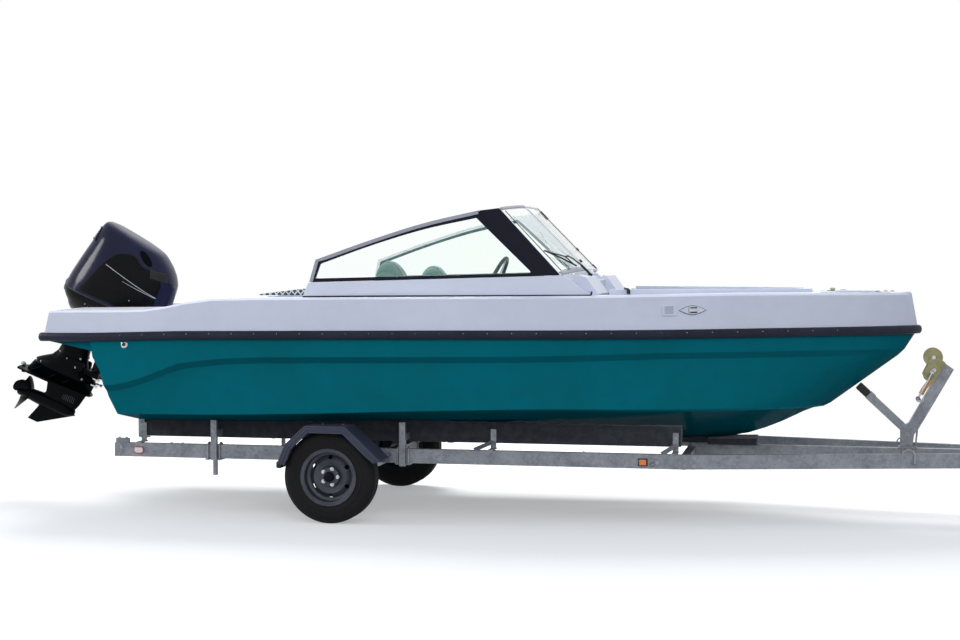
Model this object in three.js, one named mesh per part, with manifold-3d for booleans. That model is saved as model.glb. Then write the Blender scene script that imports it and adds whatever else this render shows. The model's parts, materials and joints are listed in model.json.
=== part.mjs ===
// Outboard motorboat on its trailer. Millimetres, +X to the bow, +Y to port, +Z up, ground at z = 0.
// Lengths are set out from the aft end of the rub rail; the group is then moved by ORIGIN_X so that
// the origin lies under the middle of the whole thing.
import * as THREE from 'three';
import { mergeVertices } from 'three/addons/utils/BufferGeometryUtils.js';
import Module from 'manifold-3d';

const wasm = await Module();
wasm.setup();

// ---- driving dimensions -------------------------------------------------------------------
const ORIGIN_X = 3602.8;          // middle of the overall length
const GAP = 0.3;                // room left between touching pieces
const BEAM = 1125;              // half breadth of the hull at the rub rail
const STEM_X = 6180;            // forward end of the hull at the rub rail
const SOLE_Z = 925;             // cockpit floor
const SEAT_Z = 1230;            // bow seat shelf
const WELL_HALF = 500;          // motor well half width
const WELL_END = 1010;          // motor well forward end
const WELL_Z = 1012;            // motor well floor
const TRANSOM_TOP = 1178;       // transom top in the motor well
const COCKPIT = [1060, 3960];   // open cockpit, aft and forward ends
const WALK_HALF = 280;          // half width of the way through to the bow
const TILT = [300, 1200];       // engine tilt axis, x and z
const TILT_DEG = 22;            // how far the engine is tilted up
const STEER_X = -225;           // steering axis, aft of the tilt axis, engine frame
const PROP_Z = -722;            // propeller axis, engine frame
const PROP_R = 163;
const FRAME_Y = 750;            // trailer side members, centre
const FRAME_Z = [400, 500];
const SPLICE_X = 4593;          // where the side members meet the drawbar arms
const WHEEL = { x: 2161, y: 1000, r: 325, rim: 190, width: 185 };
const WINCH = { x: 6284, z: 1147 };
const JOCKEY_X = 7330;
const COUPLING_X = 7890;        // middle of the ball socket

const group = new THREE.Group();
group.position.x = -ORIGIN_X;

// ---- materials ------------------------------------------------------------------------------
const colour = (hex, roughness, metalness = 0) => new THREE.MeshStandardMaterial({ color: hex, roughness,
  metalness });
const TEAL = colour('#0a6572', 0.25), WHITE = colour('#dfe3e8', 0.3), BLACK = colour('#14161a', 0.55);
const LINER = colour('#d3d8dc', 0.45), ZINC = colour('#8a9299', 0.5, 0.8), YELLOW = colour('#a99a58', 0.4,
  0.8);
const NAVY = colour('#0a0d18', 0.15), RUBBER = colour('#17181a', 0.85), CARPET = colour('#24272c', 0.98);
const SEAT = colour('#9aa5a0', 0.6), QUILT = colour('#3b3e42', 0.7), STEEL = colour('#b8bcc0', 0.2, 1);
const GLASS = new THREE.MeshStandardMaterial({ color: '#9cc4b8', roughness: 0.05, transparent: true,
  opacity: 0.3 });
const ORANGE = colour('#e8730c', 0.3), FENDER = colour('#3d4247', 0.6), LAMP = colour('#f2efe8', 0.2);

// ---- shape helpers --------------------------------------------------------------------------
// monotone cubic through rows of [x, value]
function table(rows) {
  const n = rows.length, d = [], m = [];
  for (let i = 0; i < n - 1; i++) d.push((rows[i + 1][1] - rows[i][1]) / (rows[i + 1][0] - rows[i][0]));
  for (let i = 0; i < n; i++) {
    const a = d[Math.max(i - 1, 0)], b = d[Math.min(i, n - 2)];
    m.push(a * b <= 0 ? 0 : 2 * a * b / (a + b));
  }
  return (x) => {
    if (x <= rows[0][0]) return rows[0][1];
    if (x >= rows[n - 1][0]) return rows[n - 1][1];
    let i = 0;
    while (x > rows[i + 1][0]) i++;
    const h = rows[i + 1][0] - rows[i][0], t = (x - rows[i][0]) / h, u = 1 - t;
    return rows[i][1] * (1 + 2 * t) * u * u + rows[i + 1][1] * t * t * (3 - 2 * t)
      + h * (m[i] * t * u * u - m[i + 1] * t * t * u);
  };
}

// merged, free of collapsed triangles, facing out
function clean(positions, faces) {
  let g = new THREE.BufferGeometry();
  g.setAttribute('position', new THREE.Float32BufferAttribute(positions, 3));
  if (faces) g.setIndex(faces);
  g = mergeVertices(g, 1e-3);
  const p = g.attributes.position, old = g.index.array, keep = [];
  let volume = 0;
  const a = new THREE.Vector3(), b = new THREE.Vector3(), c = new THREE.Vector3();
  for (let i = 0; i < old.length; i += 3) {
    const [q, r, s] = [old[i], old[i + 1], old[i + 2]];
    if (q === r || r === s || s === q) continue;
    keep.push(q, r, s);
    a.fromBufferAttribute(p, q); b.fromBufferAttribute(p, r); c.fromBufferAttribute(p, s);
    volume += a.dot(b.cross(c));
  }
  if (volume < 0) keep.reverse();
  g.setIndex(keep);
  return g;
}
function bare(geometry) {
  const g = geometry.index ? geometry.toNonIndexed() : geometry;
  return clean(Array.from(g.attributes.position.array));
}
// closed rings of [x, y, z], same count, skinned and capped with a fan at each end
function loft(rings, around = false) {
  const n = rings[0].length, pos = rings.flat(2), faces = [];
  const last = around ? rings.length : rings.length - 1;
  for (let i = 0; i < last; i++) for (let j = 0; j < n; j++) {
    const k = (j + 1) % n, up = (i + 1) % rings.length;
    const a = i * n + j, b = i * n + k, c = up * n + k, d = up * n + j;
    // the second half takes the other diagonal, so that a mirrored ring gives a mirrored skin
    if (j > (n - 1) / 2) faces.push(a, b, d, b, c, d); else faces.push(a, b, c, a, c, d);
  }
  if (!around) for (const [i, flip] of [[0, true], [rings.length - 1, false]]) {
    const mid = pos.length / 3, r = rings[i];
    for (let axis = 0; axis < 3; axis++) pos.push(r.reduce((s, q) => s + q[axis], 0) / n);
    for (let j = 0; j < n; j++) {
      const a = i * n + j, b = i * n + (j + 1) % n;
      faces.push(...(flip ? [mid, b, a] : [mid, a, b]));
    }
  }
  return clean(pos, faces);
}
// flat outline pushed along an axis: x takes [y, z], y takes [x, z], z takes [x, y]
function slab(axis, outline, lo, hi) {
  const g = new THREE.ExtrudeGeometry(new THREE.Shape(outline.map((p) => new THREE.Vector2(...p))),
    { depth: hi - lo, bevelEnabled: false });
  const X = new THREE.Vector3(1, 0, 0), Y = new THREE.Vector3(0, 1, 0), Z = new THREE.Vector3(0, 0, 1);
  const m = new THREE.Matrix4();
  if (axis === 'x') m.makeBasis(Y, Z, X).setPosition(lo, 0, 0);
  if (axis === 'y') m.makeBasis(X, Z, Y.clone().negate()).setPosition(0, hi, 0);
  if (axis === 'z') m.setPosition(0, 0, lo);
  return bare(g.applyMatrix4(m));
}
function box(x0, x1, y0, y1, z0, z1) {
  return bare(new THREE.BoxGeometry(x1 - x0, y1 - y0, z1 - z0)
    .translate((x0 + x1) / 2, (y0 + y1) / 2, (z0 + z1) / 2));
}
function rod(a, b, r, sides = 16, r2 = r) {
  const p = new THREE.Vector3(...a), q = new THREE.Vector3(...b), dir = q.clone().sub(p);
  const g = new THREE.CylinderGeometry(r2, r, dir.length(), sides);
  g.applyQuaternion(new THREE.Quaternion().setFromUnitVectors(new THREE.Vector3(0, 1, 0),
    dir.clone().normalize()));
  return bare(g.translate(...p.add(q).multiplyScalar(0.5).toArray()));
}
// rectangular bar between two points, width across and height in the plane of `up`
function bar(a, b, width, height, up = [0, 0, 1]) {
  const p = new THREE.Vector3(...a), q = new THREE.Vector3(...b), dir = q.clone().sub(p);
  const x = dir.clone().normalize(), y = new THREE.Vector3(...up).cross(x).normalize(),
    z = x.clone().cross(y);
  const g = new THREE.BoxGeometry(dir.length(), width, height);
  g.applyMatrix4(new THREE.Matrix4().makeBasis(x, y, z).setPosition(p.add(q).multiplyScalar(0.5)));
  return bare(g);
}
// turned about a line parallel to Y, profile of [radius, y]
function turned(profile, sides = 32) {
  return bare(new THREE.LatheGeometry(profile.map((p) => new THREE.Vector2(...p)), sides));
}
// a plate with an outline in x and z whose two faces stand at the breadths inner(z) and outer(z)
function leaning(outline, inner, outer) {
  return loft([outline.map(([x, z]) => [x, inner(z), z]), outline.map(([x, z]) => [x, outer(z), z])]);
}
const mirrored = (geometry) => {
  const p = geometry.toNonIndexed().attributes.position.array.slice();
  for (let i = 1; i < p.length; i += 3) p[i] = -p[i];
  return clean(Array.from(p));
};
const moved = (g, x, y, z) => g.clone().translate(x, y, z);
const solid = (g) => new wasm.Manifold(new wasm.Mesh({
  numProp: 3,
  vertProperties: new Float32Array(g.attributes.position.array),
  triVerts: new Uint32Array(g.index.array),
}));
function shape(manifold) {
  const m = manifold.getMesh(), n = m.numProp, pos = [];
  for (let i = 0; i < m.vertProperties.length; i += n) pos.push(...m.vertProperties.subarray(i, i + 3));
  const g = new THREE.BufferGeometry();
  g.setAttribute('position', new THREE.Float32BufferAttribute(pos, 3));
  g.setIndex(Array.from(m.triVerts));
  return g;
}
const join = (...parts) => shape(parts.map(solid).reduce((a, b) => a.add(b)));
const cut = (body, ...tools) => shape(tools.map(solid).reduce((a, b) => a.subtract(b), solid(body)));
const meet = (a, b) => shape(solid(a).intersect(solid(b)));

function add(name, geometry, material, parent = group) {
  const g = geometry.index ? geometry.toNonIndexed() : geometry;
  g.computeVertexNormals();
  const mesh = new THREE.Mesh(g, material);
  mesh.name = name;
  parent.add(mesh);
  return mesh;
}
// the same piece on both sides; built for port, mirrored to starboard
function pair(name, geometry, material) {
  add(`${name}_port`, geometry, material);
  add(`${name}_starboard`, mirrored(geometry), material);
}

// ---- hull lines -----------------------------------------------------------------------------
// breadth of a line that runs full to `from` and closes on the stem at `to`
const plan = (half, from, to, full, round) => (x) => {
  const t = Math.min(Math.max((x - from) / (to - from), 0), 1);
  return half * (1 - t ** full) ** round;
};
const sheerPlan = plan(BEAM, 3000, STEM_X, 2.1, 0.85);
const deckPlan = plan(BEAM - 38, 3000, STEM_X - 44, 2.1, 0.85);
const keelZ = table([[650, 535], [4300, 535], [4671, 546], [4908, 566], [5108, 622], [5235, 674],
  [5341, 726],
  [5500, 806]]);
const chineZ = table([[572, 732], [1190, 737], [1940, 756], [2940, 794], [3770, 814], [4600, 812],
  [5580, 816]]);
const ledgeZ = table([[440, 920], [565, 925], [838, 995], [1064, 1083], [1583, 1132], [2960, 1150],
  [3787, 1163],
  [4583, 1185], [5636, 1190], [6075, 1183]]);
// middle height of the rub rail, where hull and deck meet
const railZ = table([[0, 1284], [360, 1286], [800, 1297], [1250, 1308], [2270, 1316], [3000, 1324],
  [4500, 1333],
  [5200, 1340], [6200, 1344]]);
const sheerZ = (x) => railZ(x) + 5;
const transomX = (z) => 365 + (1258 - z) * 0.394;
const SHEER_AFT = [transomX(1290), 1290];                          // aft end of the hull's top edge
const lines = [                                         // aft height, forward end, breadth, height
  { z0: 535, x1: 5500, y: () => 0, z: keelZ },
  { z0: 718, x1: 5535, y: (x) => plan(1010, 2600, 5580, 2.6, 0.6)(x) - 75 * (1 - x / 5600),
    z: (x) => chineZ(x) - 14 },
  { z0: 732, x1: 5580, y: plan(1010, 2600, 5580, 2.6, 0.6), z: chineZ },
  { z0: 900, x1: 6043, y: plan(1058, 2800, 6043, 2.2, 0.8), z: (x) => ledgeZ(x) - 24 },
  { z0: 945, x1: 6088, y: plan(1098, 2800, 6088, 2.2, 0.8), z: (x) => ledgeZ(x) + 20 },
  { z0: SHEER_AFT[1], x1: STEM_X, y: sheerPlan, z: (x) => Math.max(sheerZ(x), SHEER_AFT[1]) },
];
// every moulding shares these places along the sheer, so that their edges lie together
const sheerX = [SHEER_AFT[0], 450, 560, 680, 800, 950, 1100, 1300, 1600, 2100, 2700, 3000, 3400, 3800,
  4150, 4450, 4730,
  4980, 5200, 5400, 5580, 5730, 5860, 5960, 6040, 6100, 6145, 6172, STEM_X];
const hullShell = loft(sheerX.map((sx) => {
  const s = (sx - SHEER_AFT[0]) / (STEM_X - SHEER_AFT[0]);
  const half = lines.map((l) => {
    const x0 = transomX(l.z0), x = x0 + (l.x1 - x0) * s;
    return [s === 0 ? transomX(l.z(x)) : x, s === 1 ? 0 : l.y(x), l.z(x)];
  });
  return [...half, ...half.slice(1).reverse().map(([x, y, z]) => [x, -y, z])];
}));

// inside outline of cockpit and bow well, half breadths
const wellRows = [[COCKPIT[0], 880], [COCKPIT[1], 880], [4330, 735], [4700, 610], [5100, 430], [5400, 250]];
const outlineOf = (rows, inset) => {
  const side = rows.map(([x, y], i) => [x + (i === 0 ? inset : i === rows.length - 1 ? -inset : 0),
    y - inset]);
  return [...side, ...side.slice().reverse().map(([x, y]) => [x, -y])];
};
const bowRows = [[COCKPIT[1] - 60, 880], ...wellRows.slice(1)];
const LINER_T = 25;
// the cockpit goes down to the sole; the bow to the seat shelf, with a footwell
const cavity = (inset, sole, shelf, top) => [
  slab('z', outlineOf([[COCKPIT[0], 880], [COCKPIT[1], 880]], inset), sole, top),
  slab('z', outlineOf(bowRows, inset), shelf, top),
  box(COCKPIT[1] - 60, 4960 - inset, -WALK_HALF + inset, WALK_HALF - inset, sole, top),
];
const platform = slab('y', [[45, 1262], [45, 1288], [460, 1288], [460, 1150], [400, 1190]], WELL_HALF + 15,
  1090);
// the well's aft wall leaves a raked transom of even thickness
const wellSpace = (inset, top, wall = 55) => slab('y', [[transomX(WELL_Z) + wall + inset, WELL_Z + inset],
  [WELL_END - inset, WELL_Z + inset], [WELL_END - inset, top], [transomX(TRANSOM_TOP) + wall + inset, top],
  [transomX(TRANSOM_TOP) + wall + inset, TRANSOM_TOP]], -WELL_HALF + inset, WELL_HALF - inset);
const transomNotch = (inset) => box(-200, transomX(TRANSOM_TOP) + 60, -WELL_HALF + inset, WELL_HALF - inset,
  TRANSOM_TOP, 1700);
// the sides end a little forward of the transom's plane
const quarter = slab('y', [[250, 1400], [415, 1400], [415, 1250], [430, 1143], [482, 1044], [transomX(860),
  860],
  [250, 860]], 570, 1250);
const hull = cut(join(cut(hullShell, quarter, mirrored(quarter)), platform, mirrored(platform)),
  ...cavity(0, SOLE_Z - LINER_T, SEAT_Z - LINER_T, 1500), wellSpace(0, 1500), transomNotch(0));
add('hull', hull, TEAL);

// white lining of cockpit and bow well: a tub with 25 mm walls
const linerOuter = cavity(GAP, SOLE_Z - LINER_T + GAP, SEAT_Z - LINER_T + GAP, 1400);

// ---- deck moulding --------------------------------------------------------------------------
const deckZ = table([[70, 1470], [751, 1478], [1320, 1560], [1970, 1571], [4050, 1590], [5020, 1605],
  [6136, 1600]]);
const deckShell = loft([66, 200, ...sheerX].map((x) => {
  const s = (x - 66) / (STEM_X - 66), tip = x === STEM_X, xt = 88 + (STEM_X - 44 - 88) * s, z = deckZ(xt);
  const y = tip ? 0 : sheerPlan(x), yt = tip ? 0 : deckPlan(xt), yc = Math.max(yt - 22, 0);
  const half = [[x, y, sheerZ(x) + GAP], [xt, yt, z - 14], [xt, yc, z], [xt, yc * 0.5, z + 8]];
  return [...half, ...half.slice().reverse().map(([a, b, c]) => [a, -b, c])];
}));
add('cockpit_liner', cut(join(...linerOuter), ...cavity(LINER_T, SOLE_Z, SEAT_Z, 1500), moved(deckShell, 0,
  0, -GAP)),
  LINER);
// the motor well is a tray hanging from the deck, open aft over the transom
const tray = cut(wellSpace(GAP, 1400), wellSpace(15, 1500),
  box(0, transomX(TRANSOM_TOP) + 80, -WELL_HALF + 15, WELL_HALF - 15, TRANSOM_TOP, 1500));
const deckOpen = [
  slab('z', outlineOf(wellRows, LINER_T), 1200, 1800),
  box(-100, WELL_END - 15, -WELL_HALF + 15, WELL_HALF - 15, 1200, 1800)];

// raised lip round the bow well
const lipRows = [[4080, 815], [4330, 720], [4700, 598], [5100, 418], [5380, 240]];
const lipRing = (grow, z0, z1) => slab('z', [...lipRows.map(([x, y], i) => [x + (i === 4 ? grow : 0),
  y + grow]),
  ...lipRows.slice().reverse().map(([x, y], i) => [x + (i === 0 ? grow : 0), -y - grow])], z0, z1);
const lip = cut(lipRing(60, 1560, 1632), lipRing(0, 1500, 1700), box(3900, 4090, -900, 900, 1500, 1700));
add('deck', join(cut(deckShell, ...deckOpen), tray, lip), WHITE);

// ---- rub rail: a D section swept along the sheer, one piece round the bow ---------------------
const railSection = [[0.6, -30], [14, -30], [24, -18], [28, 0], [24, 18], [14, 30], [0.6, 30]];
const railSide = [[44, WELL_HALF + 20], [44, 1098], [49, 1116], [66, BEAM], [200, BEAM], ...sheerX.slice(0,
  -1)
  .map((x) => [x, sheerPlan(x)])];
const railPath = [...railSide, [STEM_X, 0], ...railSide.slice().reverse().map(([x, y]) => [x, -y])];
add('rub_rail', loft(railPath.map(([x, y], i) => {
  const a = railPath[Math.max(i - 1, 0)], b = railPath[Math.min(i + 1, railPath.length - 1)];
  const len = Math.hypot(b[0] - a[0], b[1] - a[1]), nx = -(b[1] - a[1]) / len, ny = (b[0] - a[0]) / len;
  return railSection.map(([out, up]) => [x + nx * out, y + ny * out, railZ(x) + up]);
})), BLACK);

// ---- windscreen moulding, glass and frames ----------------------------------------------------
// breadths across the side glass: it leans in as it rises
const glassOut = (z) => 905 - (z - 1676) * 0.17;
const coamingLine = [[2030, 1674], [2600, 1691], [3200, 1710], [3780, 1727]];
const coaming = cut(leaning([[1941, 1540], [1943, 1580], [1971, 1673], ...coamingLine.slice(1),
  [3969, 1594],
  [3972, 1560]], () => 868, (z) => 962 - Math.max(z - 1580, 0) * 0.42), moved(deckShell, 0, 0, GAP));
const rim = (outer, inner, lo, hi) => cut(leaning(outer, (z) => glassOut(z) + lo, (z) => glassOut(z) + hi),
  leaning(inner, (z) => glassOut(z) - 60, (z) => glassOut(z) + 60));
const sideOuter = [[1973, 1674], [2012, 1834], [2416, 1975], [2783, 2088], [3167, 2176], [3634, 1725]];
const sideInner = [[2016, 1706], [2045, 1804], [2424, 1938], [2790, 2046], [3156, 2124], [3558, 1745]];
const sideFrame = rim(sideOuter, sideInner, -28, 0);
pair('side_window_frame', cut(sideFrame, moved(coaming, 0, 0, 0.4)), BLACK);
const sideFrameKeep = leaning(sideOuter.map(([x, z]) => [x, z]), (z) => glassOut(z) - 60,
  (z) => glassOut(z) + 30);
const sidePane = [[2017, 1707.5], [2046, 1803], [2424, 1937], [2790, 2045], [3155.5, 2122.8], [3555, 1746]];
pair('side_glass', leaning(sidePane, (z) => glassOut(z) - 17, (z) => glassOut(z) - 11), GLASS);
const pillar = [[3168.5, 2175], [3315, 2192], [3757, 1728], [3636, 1725.5]];
const pillarBody = cut(leaning(pillar, (z) => glassOut(z) - 36, glassOut), moved(coaming, 0, 0, 0.4));

// front screen: curved foot and head, set out from the pillar to the way through
const foot = (y) => [3858 - 100 * (y / 880) ** 2, y, 1760 - 30 * (y / 880) ** 2];
const head = (y) => [3398 - 83 * (y / 815) ** 2, y, 2226 - 34 * (y / 815) ** 2];
const frontPlate = (yFoot, yHead, lift, thick) => {
  // runs over the foot from one breadth to another and back along the head
  const at = (p, k) => [p[0] + k * 0.7, p[1], p[2] + k * 0.7];
  const low = yFoot.map(foot), high = yHead.map(head);
  return (t0, t1) => {
    const mix = (a, b, t) => a.map((v, i) => v + (b[i] - v) * t);
    const line = (k) => [...low.map((p, i) => at(mix(p, high[i], t0), k)),
      ...low.map((p, i) => at(mix(p, high[i], t1), k)).reverse()];
    return loft([line(lift), line(lift + thick)]);
  };
};
const WAY = WALK_HALF - 4;
const spread = (a, b, n) => Array.from({ length: n + 1 }, (_, i) => a + (b - a) * i / n);
pair('front_glass', frontPlate(spread(WALK_HALF + 22, 825, 4), spread(WALK_HALF + 22, 772, 4), 2, 6)(0.052,
  0.948), GLASS);
const footRail = frontPlate(spread(WALK_HALF + 4, 866, 4), spread(WALK_HALF + 4, 804, 4), -9, 22)(0, 0.05);
const headRail = frontPlate(spread(WALK_HALF + 4, 852, 4), spread(WALK_HALF + 4, 794, 4), -9, 22)(0.95, 1);
const innerPost = frontPlate([WALK_HALF + 4, WALK_HALF + 21], [WALK_HALF + 4, WALK_HALF + 21], -9, 22)(0,
  1);
pair('front_screen_frame', cut(join(footRail, headRail, innerPost, pillarBody), moved(coaming, 0, 0, 0.4),
  sideFrameKeep), BLACK);

// walk-through screen pane in its frame, hinged on the port post
const wayFrame = (yA, yB) => join(
  frontPlate(spread(yA, yB, 2), spread(yA, yB, 2), -4, 16)(0.004, 0.05),
  frontPlate(spread(yA, yB, 2), spread(yA, yB, 2), -4, 16)(0.95, 0.996),
  frontPlate([yA, yA + 16], [yA, yA + 16], -4, 16)(0.004, 0.996),
  frontPlate([yB - 16, yB], [yB - 16, yB], -4, 16)(0.004, 0.996));
add('walkthrough_screen_frame', wayFrame(-WAY + 1, WAY - 1), BLACK);
add('walkthrough_screen_glass', frontPlate(spread(-WAY + 18, WAY - 18, 2), spread(-WAY + 18, WAY - 18, 2),
  2, 6)(0.0515, 0.9485), GLASS);

// steering wheel's place: its own +Z runs forward and down into the dash
const WHEEL_AT = [3226, -450, 1696], WHEEL_TILT = 26;
const helm = new THREE.Group();
helm.position.set(...WHEEL_AT);
helm.rotation.y = THREE.MathUtils.degToRad(90 + WHEEL_TILT);
helm.updateMatrix();
group.add(helm);

// consoles each side of the way through: dash top, sloping forward face behind the glass foot
const consoleSide = [[3330, SOLE_Z + GAP], [3330, 1560], [3400, 1640], [3440, 1712], [3640, 1722],
  [3790, 1722],
  [3850, 1735], [3925, 1715], [4010, 1600], [4010, SEAT_Z + GAP], [3925, SEAT_Z + GAP],
    [3925, SOLE_Z + GAP]];
const screenFoot = frontPlate(spread(WALK_HALF - 40, 880, 4), spread(WALK_HALF - 40, 820, 4), -9, 70)(-0.1,
  1);
const consoleBlock = cut(slab('y', consoleSide, WALK_HALF + 2, 852), screenFoot,
  slab('z', [[3955, 853], [4100, 796], [4100, 900], [3955, 900]], 900, 1900),
  slab('y', [[3300, SOLE_Z + 60], [3300, 1430], [3800, 1430], [3860, SOLE_Z + 60]], 330, 820));
const shoulder = cut(slab('y', [[3400, 1615], [3440, 1690], [3790, 1700], [3940, 1615]], 840, 880),
  screenFoot,
  moved(deckShell, 0, 0, 1));
const moulding = join(consoleBlock, shoulder, coaming);
add('screen_moulding_port', moulding, WHITE);
const helmBoss = rod([0, 0, 61], [0, 0, 190], 44, 20).applyMatrix4(helm.matrix);
add('screen_moulding_starboard', join(mirrored(moulding), helmBoss), WHITE);

// walk-through door below the pane
add('walkthrough_door', box(3895, 3920, -WALK_HALF + 8, WALK_HALF - 8, SOLE_Z + 30, 1690), WHITE);

// ---- seats and cushions -----------------------------------------------------------------------
const SEAT_AXIS = [2660, 450], MATE_X = 105;      // the mate's seat stands a little further forward
const seatBase = slab('y', [[2440, 1330], [2440, 1420], [2480, 1440], [2890, 1440], [2930, 1400],
  [2930, 1330]], 220, 680);
const seatBack = slab('y', [[2440, 1441], [2345, 1760], [2375, 1815], [2420, 1836], [2480, 1820],
  [2520, 1780], [2590, 1441]],
  225, 675);
for (const [side, flip] of [['port', (g) => moved(g, MATE_X, 0, 0)], ['starboard', mirrored]]) {
  const [x, y] = SEAT_AXIS;
  add(`seat_pedestal_${side}`, flip(join(rod([x, y, SOLE_Z + GAP], [x, y, SOLE_Z + 15], 150, 24),
    rod([x, y, SOLE_Z + 10], [x, y, 1316], 36, 16))), ZINC);
  add(`seat_${side}`, flip(join(rod([x, y, 1316.5], [x, y, 1335], 110, 16), seatBase, moved(seatBack, 0, 0,
    -2))), SEAT);
}
add('bench_base', cut(box(COCKPIT[0] + LINER_T + GAP, 1560, -854, 854, SOLE_Z + GAP, 1330),
  box(COCKPIT[0] + 60, 1600, -820, 820, SOLE_Z + 40, 1290)), WHITE);
add('bench_cushion', join(box(1100, 1580, -845, 845, 1330.4, 1410),
  slab('y', [[1087, 1334], [1087, 1545], [1120, 1552], [1180, 1500], [1194, 1334]], -845, 845)), SEAT);
pair('side_bolster', slab('y', [[1580, 1581], [1590, 1592], [1746, 1611], [1920, 1631], [2010, 1634],
  [2300, 1636], [2320, 1584]], 790, 850), QUILT);
const bowSeat = (inset, z0, z1) => cut(slab('z', outlineOf(bowRows, LINER_T + inset), z0, z1),
  box(3000, 4052, -900, 900, 1000, 1900),
  box(3000, 4965, -WALK_HALF - 5, WALK_HALF + 5, 1000, 1900));
const backSide = slab('y', [[4054, SEAT_Z + 80], [4040, 1620], [4090, 1632], [4150, 1594],
  [4190, SEAT_Z + 80]], 300, 700);
add('bow_cushion', join(bowSeat(3, SEAT_Z + GAP, SEAT_Z + 90), backSide, mirrored(backSide)), SEAT);

// ---- steering wheel -------------------------------------------------------------------------
const spoke = (deg) => rod([30 * Math.cos(deg), 30 * Math.sin(deg), 8], [160 * Math.cos(deg),
  160 * Math.sin(deg), 0], 9, 8);
const turn = 2 * Math.PI / 3;
add('steering_wheel', join(bare(new THREE.TorusGeometry(165, 15, 8, 26)),
  rod([0, 0, -8], [0, 0, 60], 38, 20), spoke(Math.PI), spoke(Math.PI + turn), spoke(Math.PI - turn)),
    RUBBER, helm);

// ---- outboard engine, in its own frame: origin on the tilt axis, leg straight down --------------
const engine = new THREE.Group();
engine.position.set(TILT[0], 0, TILT[1]);
engine.rotation.y = THREE.MathUtils.degToRad(TILT_DEG);
group.add(engine);
// rounded rectangle ring at height z, from x0 to x1, half breadth y
function oval(x0, x1, y, z, power = 3, n = 28) {
  const ring = [];
  for (let i = 0; i < n; i++) {
    const a = 2 * Math.PI * i / n, c = Math.cos(a), s = Math.sin(a), e = 2 / power;
    ring.push([(x0 + x1) / 2 + (x1 - x0) / 2 * Math.sign(c) * Math.abs(c) ** e,
      y * Math.sign(s) * Math.abs(s) ** e, z]);
  }
  return ring;
}
const rings = (rows, power, n) => loft(rows.map(([z, x0, x1, y]) => oval(x0, x1, y, z, power, n)));

// clamp bracket, fast on the transom
const face = (z) => transomX(z) - 1;
const cheek = slab('y', [[262, 1168], [262, 1222], [300, 1238], [340, 1226], [392, 1200],
  [436, TRANSOM_TOP + 12],
  [440, TRANSOM_TOP + 1], [face(TRANSOM_TOP), TRANSOM_TOP + 1], [face(930), 930], [face(930) - 60, 938],
    [350, 1040],
  [300, 1150]], 92, 112);
const clampBar = slab('y', [[face(1080) - 22, 1080], [face(1080), 1080], [face(1000), 1000],
  [face(1000) - 22, 1000]], -100, 100);
const tiltTube = rod([300, -118, 1200], [300, 118, 1200], 15, 20);
add('clamp_bracket', join(cheek, mirrored(cheek), clampBar, tiltTube,
  slab('y', [[350, TRANSOM_TOP + 2], [350, TRANSOM_TOP + 13], [436, TRANSOM_TOP + 13],
    [436, TRANSOM_TOP + 2]], -100, 100)), BLACK);

// swivel bracket: barrel on the tilt tube, bored upright tube on the steering axis
const yoke = cut(join(
  rod([0, -80, 0], [0, 80, 0], 34, 24),
  slab('y', [[-10, -28], [10, 26], [-190, 12], [STEER_X, 12], [STEER_X, -40], [-120, -60]], -46, 46),
  rod([STEER_X, 0, 12], [STEER_X, 0, -345], 40, 24)),
  rod([0, -90, 0], [0, 90, 0], 16.5, 24), rod([STEER_X, 0, 20], [STEER_X, 0, -360], 18, 24));
add('swivel_bracket', yoke, BLACK, engine);

// leg with the mounting arms above and below the swivel tube
const legRows = [[46, -590, -300, 92], [-60, -580, -325, 80], [-226, -560, -332, 68], [-300, -574, -322,
  70],
  [-352, -610, -300, 80], [-395, -680, -262, 92], [-424, -722, -212, 100], [-452, -712, -196, 100]];
const leg = join(rings(legRows, 2.6, 24), rings([[17, -340, -178, 44], [46, -400, -170, 60]], 3, 20),
  slab('z', [[-180, -44], [-180, 44], [-340, 60], [-340, -60]], -392, -350),
  rod([STEER_X, 0, -360], [STEER_X, 0, 25], 15, 20));
add('engine_leg', leg, NAVY, engine);

// gearcase: strut, anti-ventilation plate, torpedo and skeg
const torpedo = turned([[0, -660], [46, -660], [54, -560], [55, -400], [50, -340], [36, -296], [18, -276],
  [0, -272]], 24);
torpedo.rotateZ(-Math.PI / 2).translate(0, 0, PROP_Z);
const strut = rings([[-453, -735, -198, 84], [-500, -757, -204, 52], [-533, -772, -208, 44],
  [-560, -577, -234, 40],
  [-650, -556, -258, 36], [PROP_Z, -600, -290, 34]], 2.4, 24);
const trimTab = slab('y', [[-808, -536], [-776, -536], [-780, -586], [-806, -589]], -6, 6);
const plateOutline = [[-196, 30], [-240, 92], [-420, 128], [-700, 132], [-800, 118], [-812, 60]];
const antiVent = slab('z', [...plateOutline, ...plateOutline.slice().reverse().map(([x, y]) => [x, -y])],
  -549, -534);
const skeg = slab('y', [[-300, PROP_Z], [-262, -738], [-536, -908], [-622, -906], [-578, -798],
  [-560, PROP_Z]], -7, 7);
add('gearcase', join(torpedo, strut, antiVent, trimTab, skeg), NAVY, engine);

// propeller, free to turn
const hub = turned([[0, -772], [34, -772], [44, -760], [46, -665], [0, -665]], 24).rotateZ(-Math.PI / 2);
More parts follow.
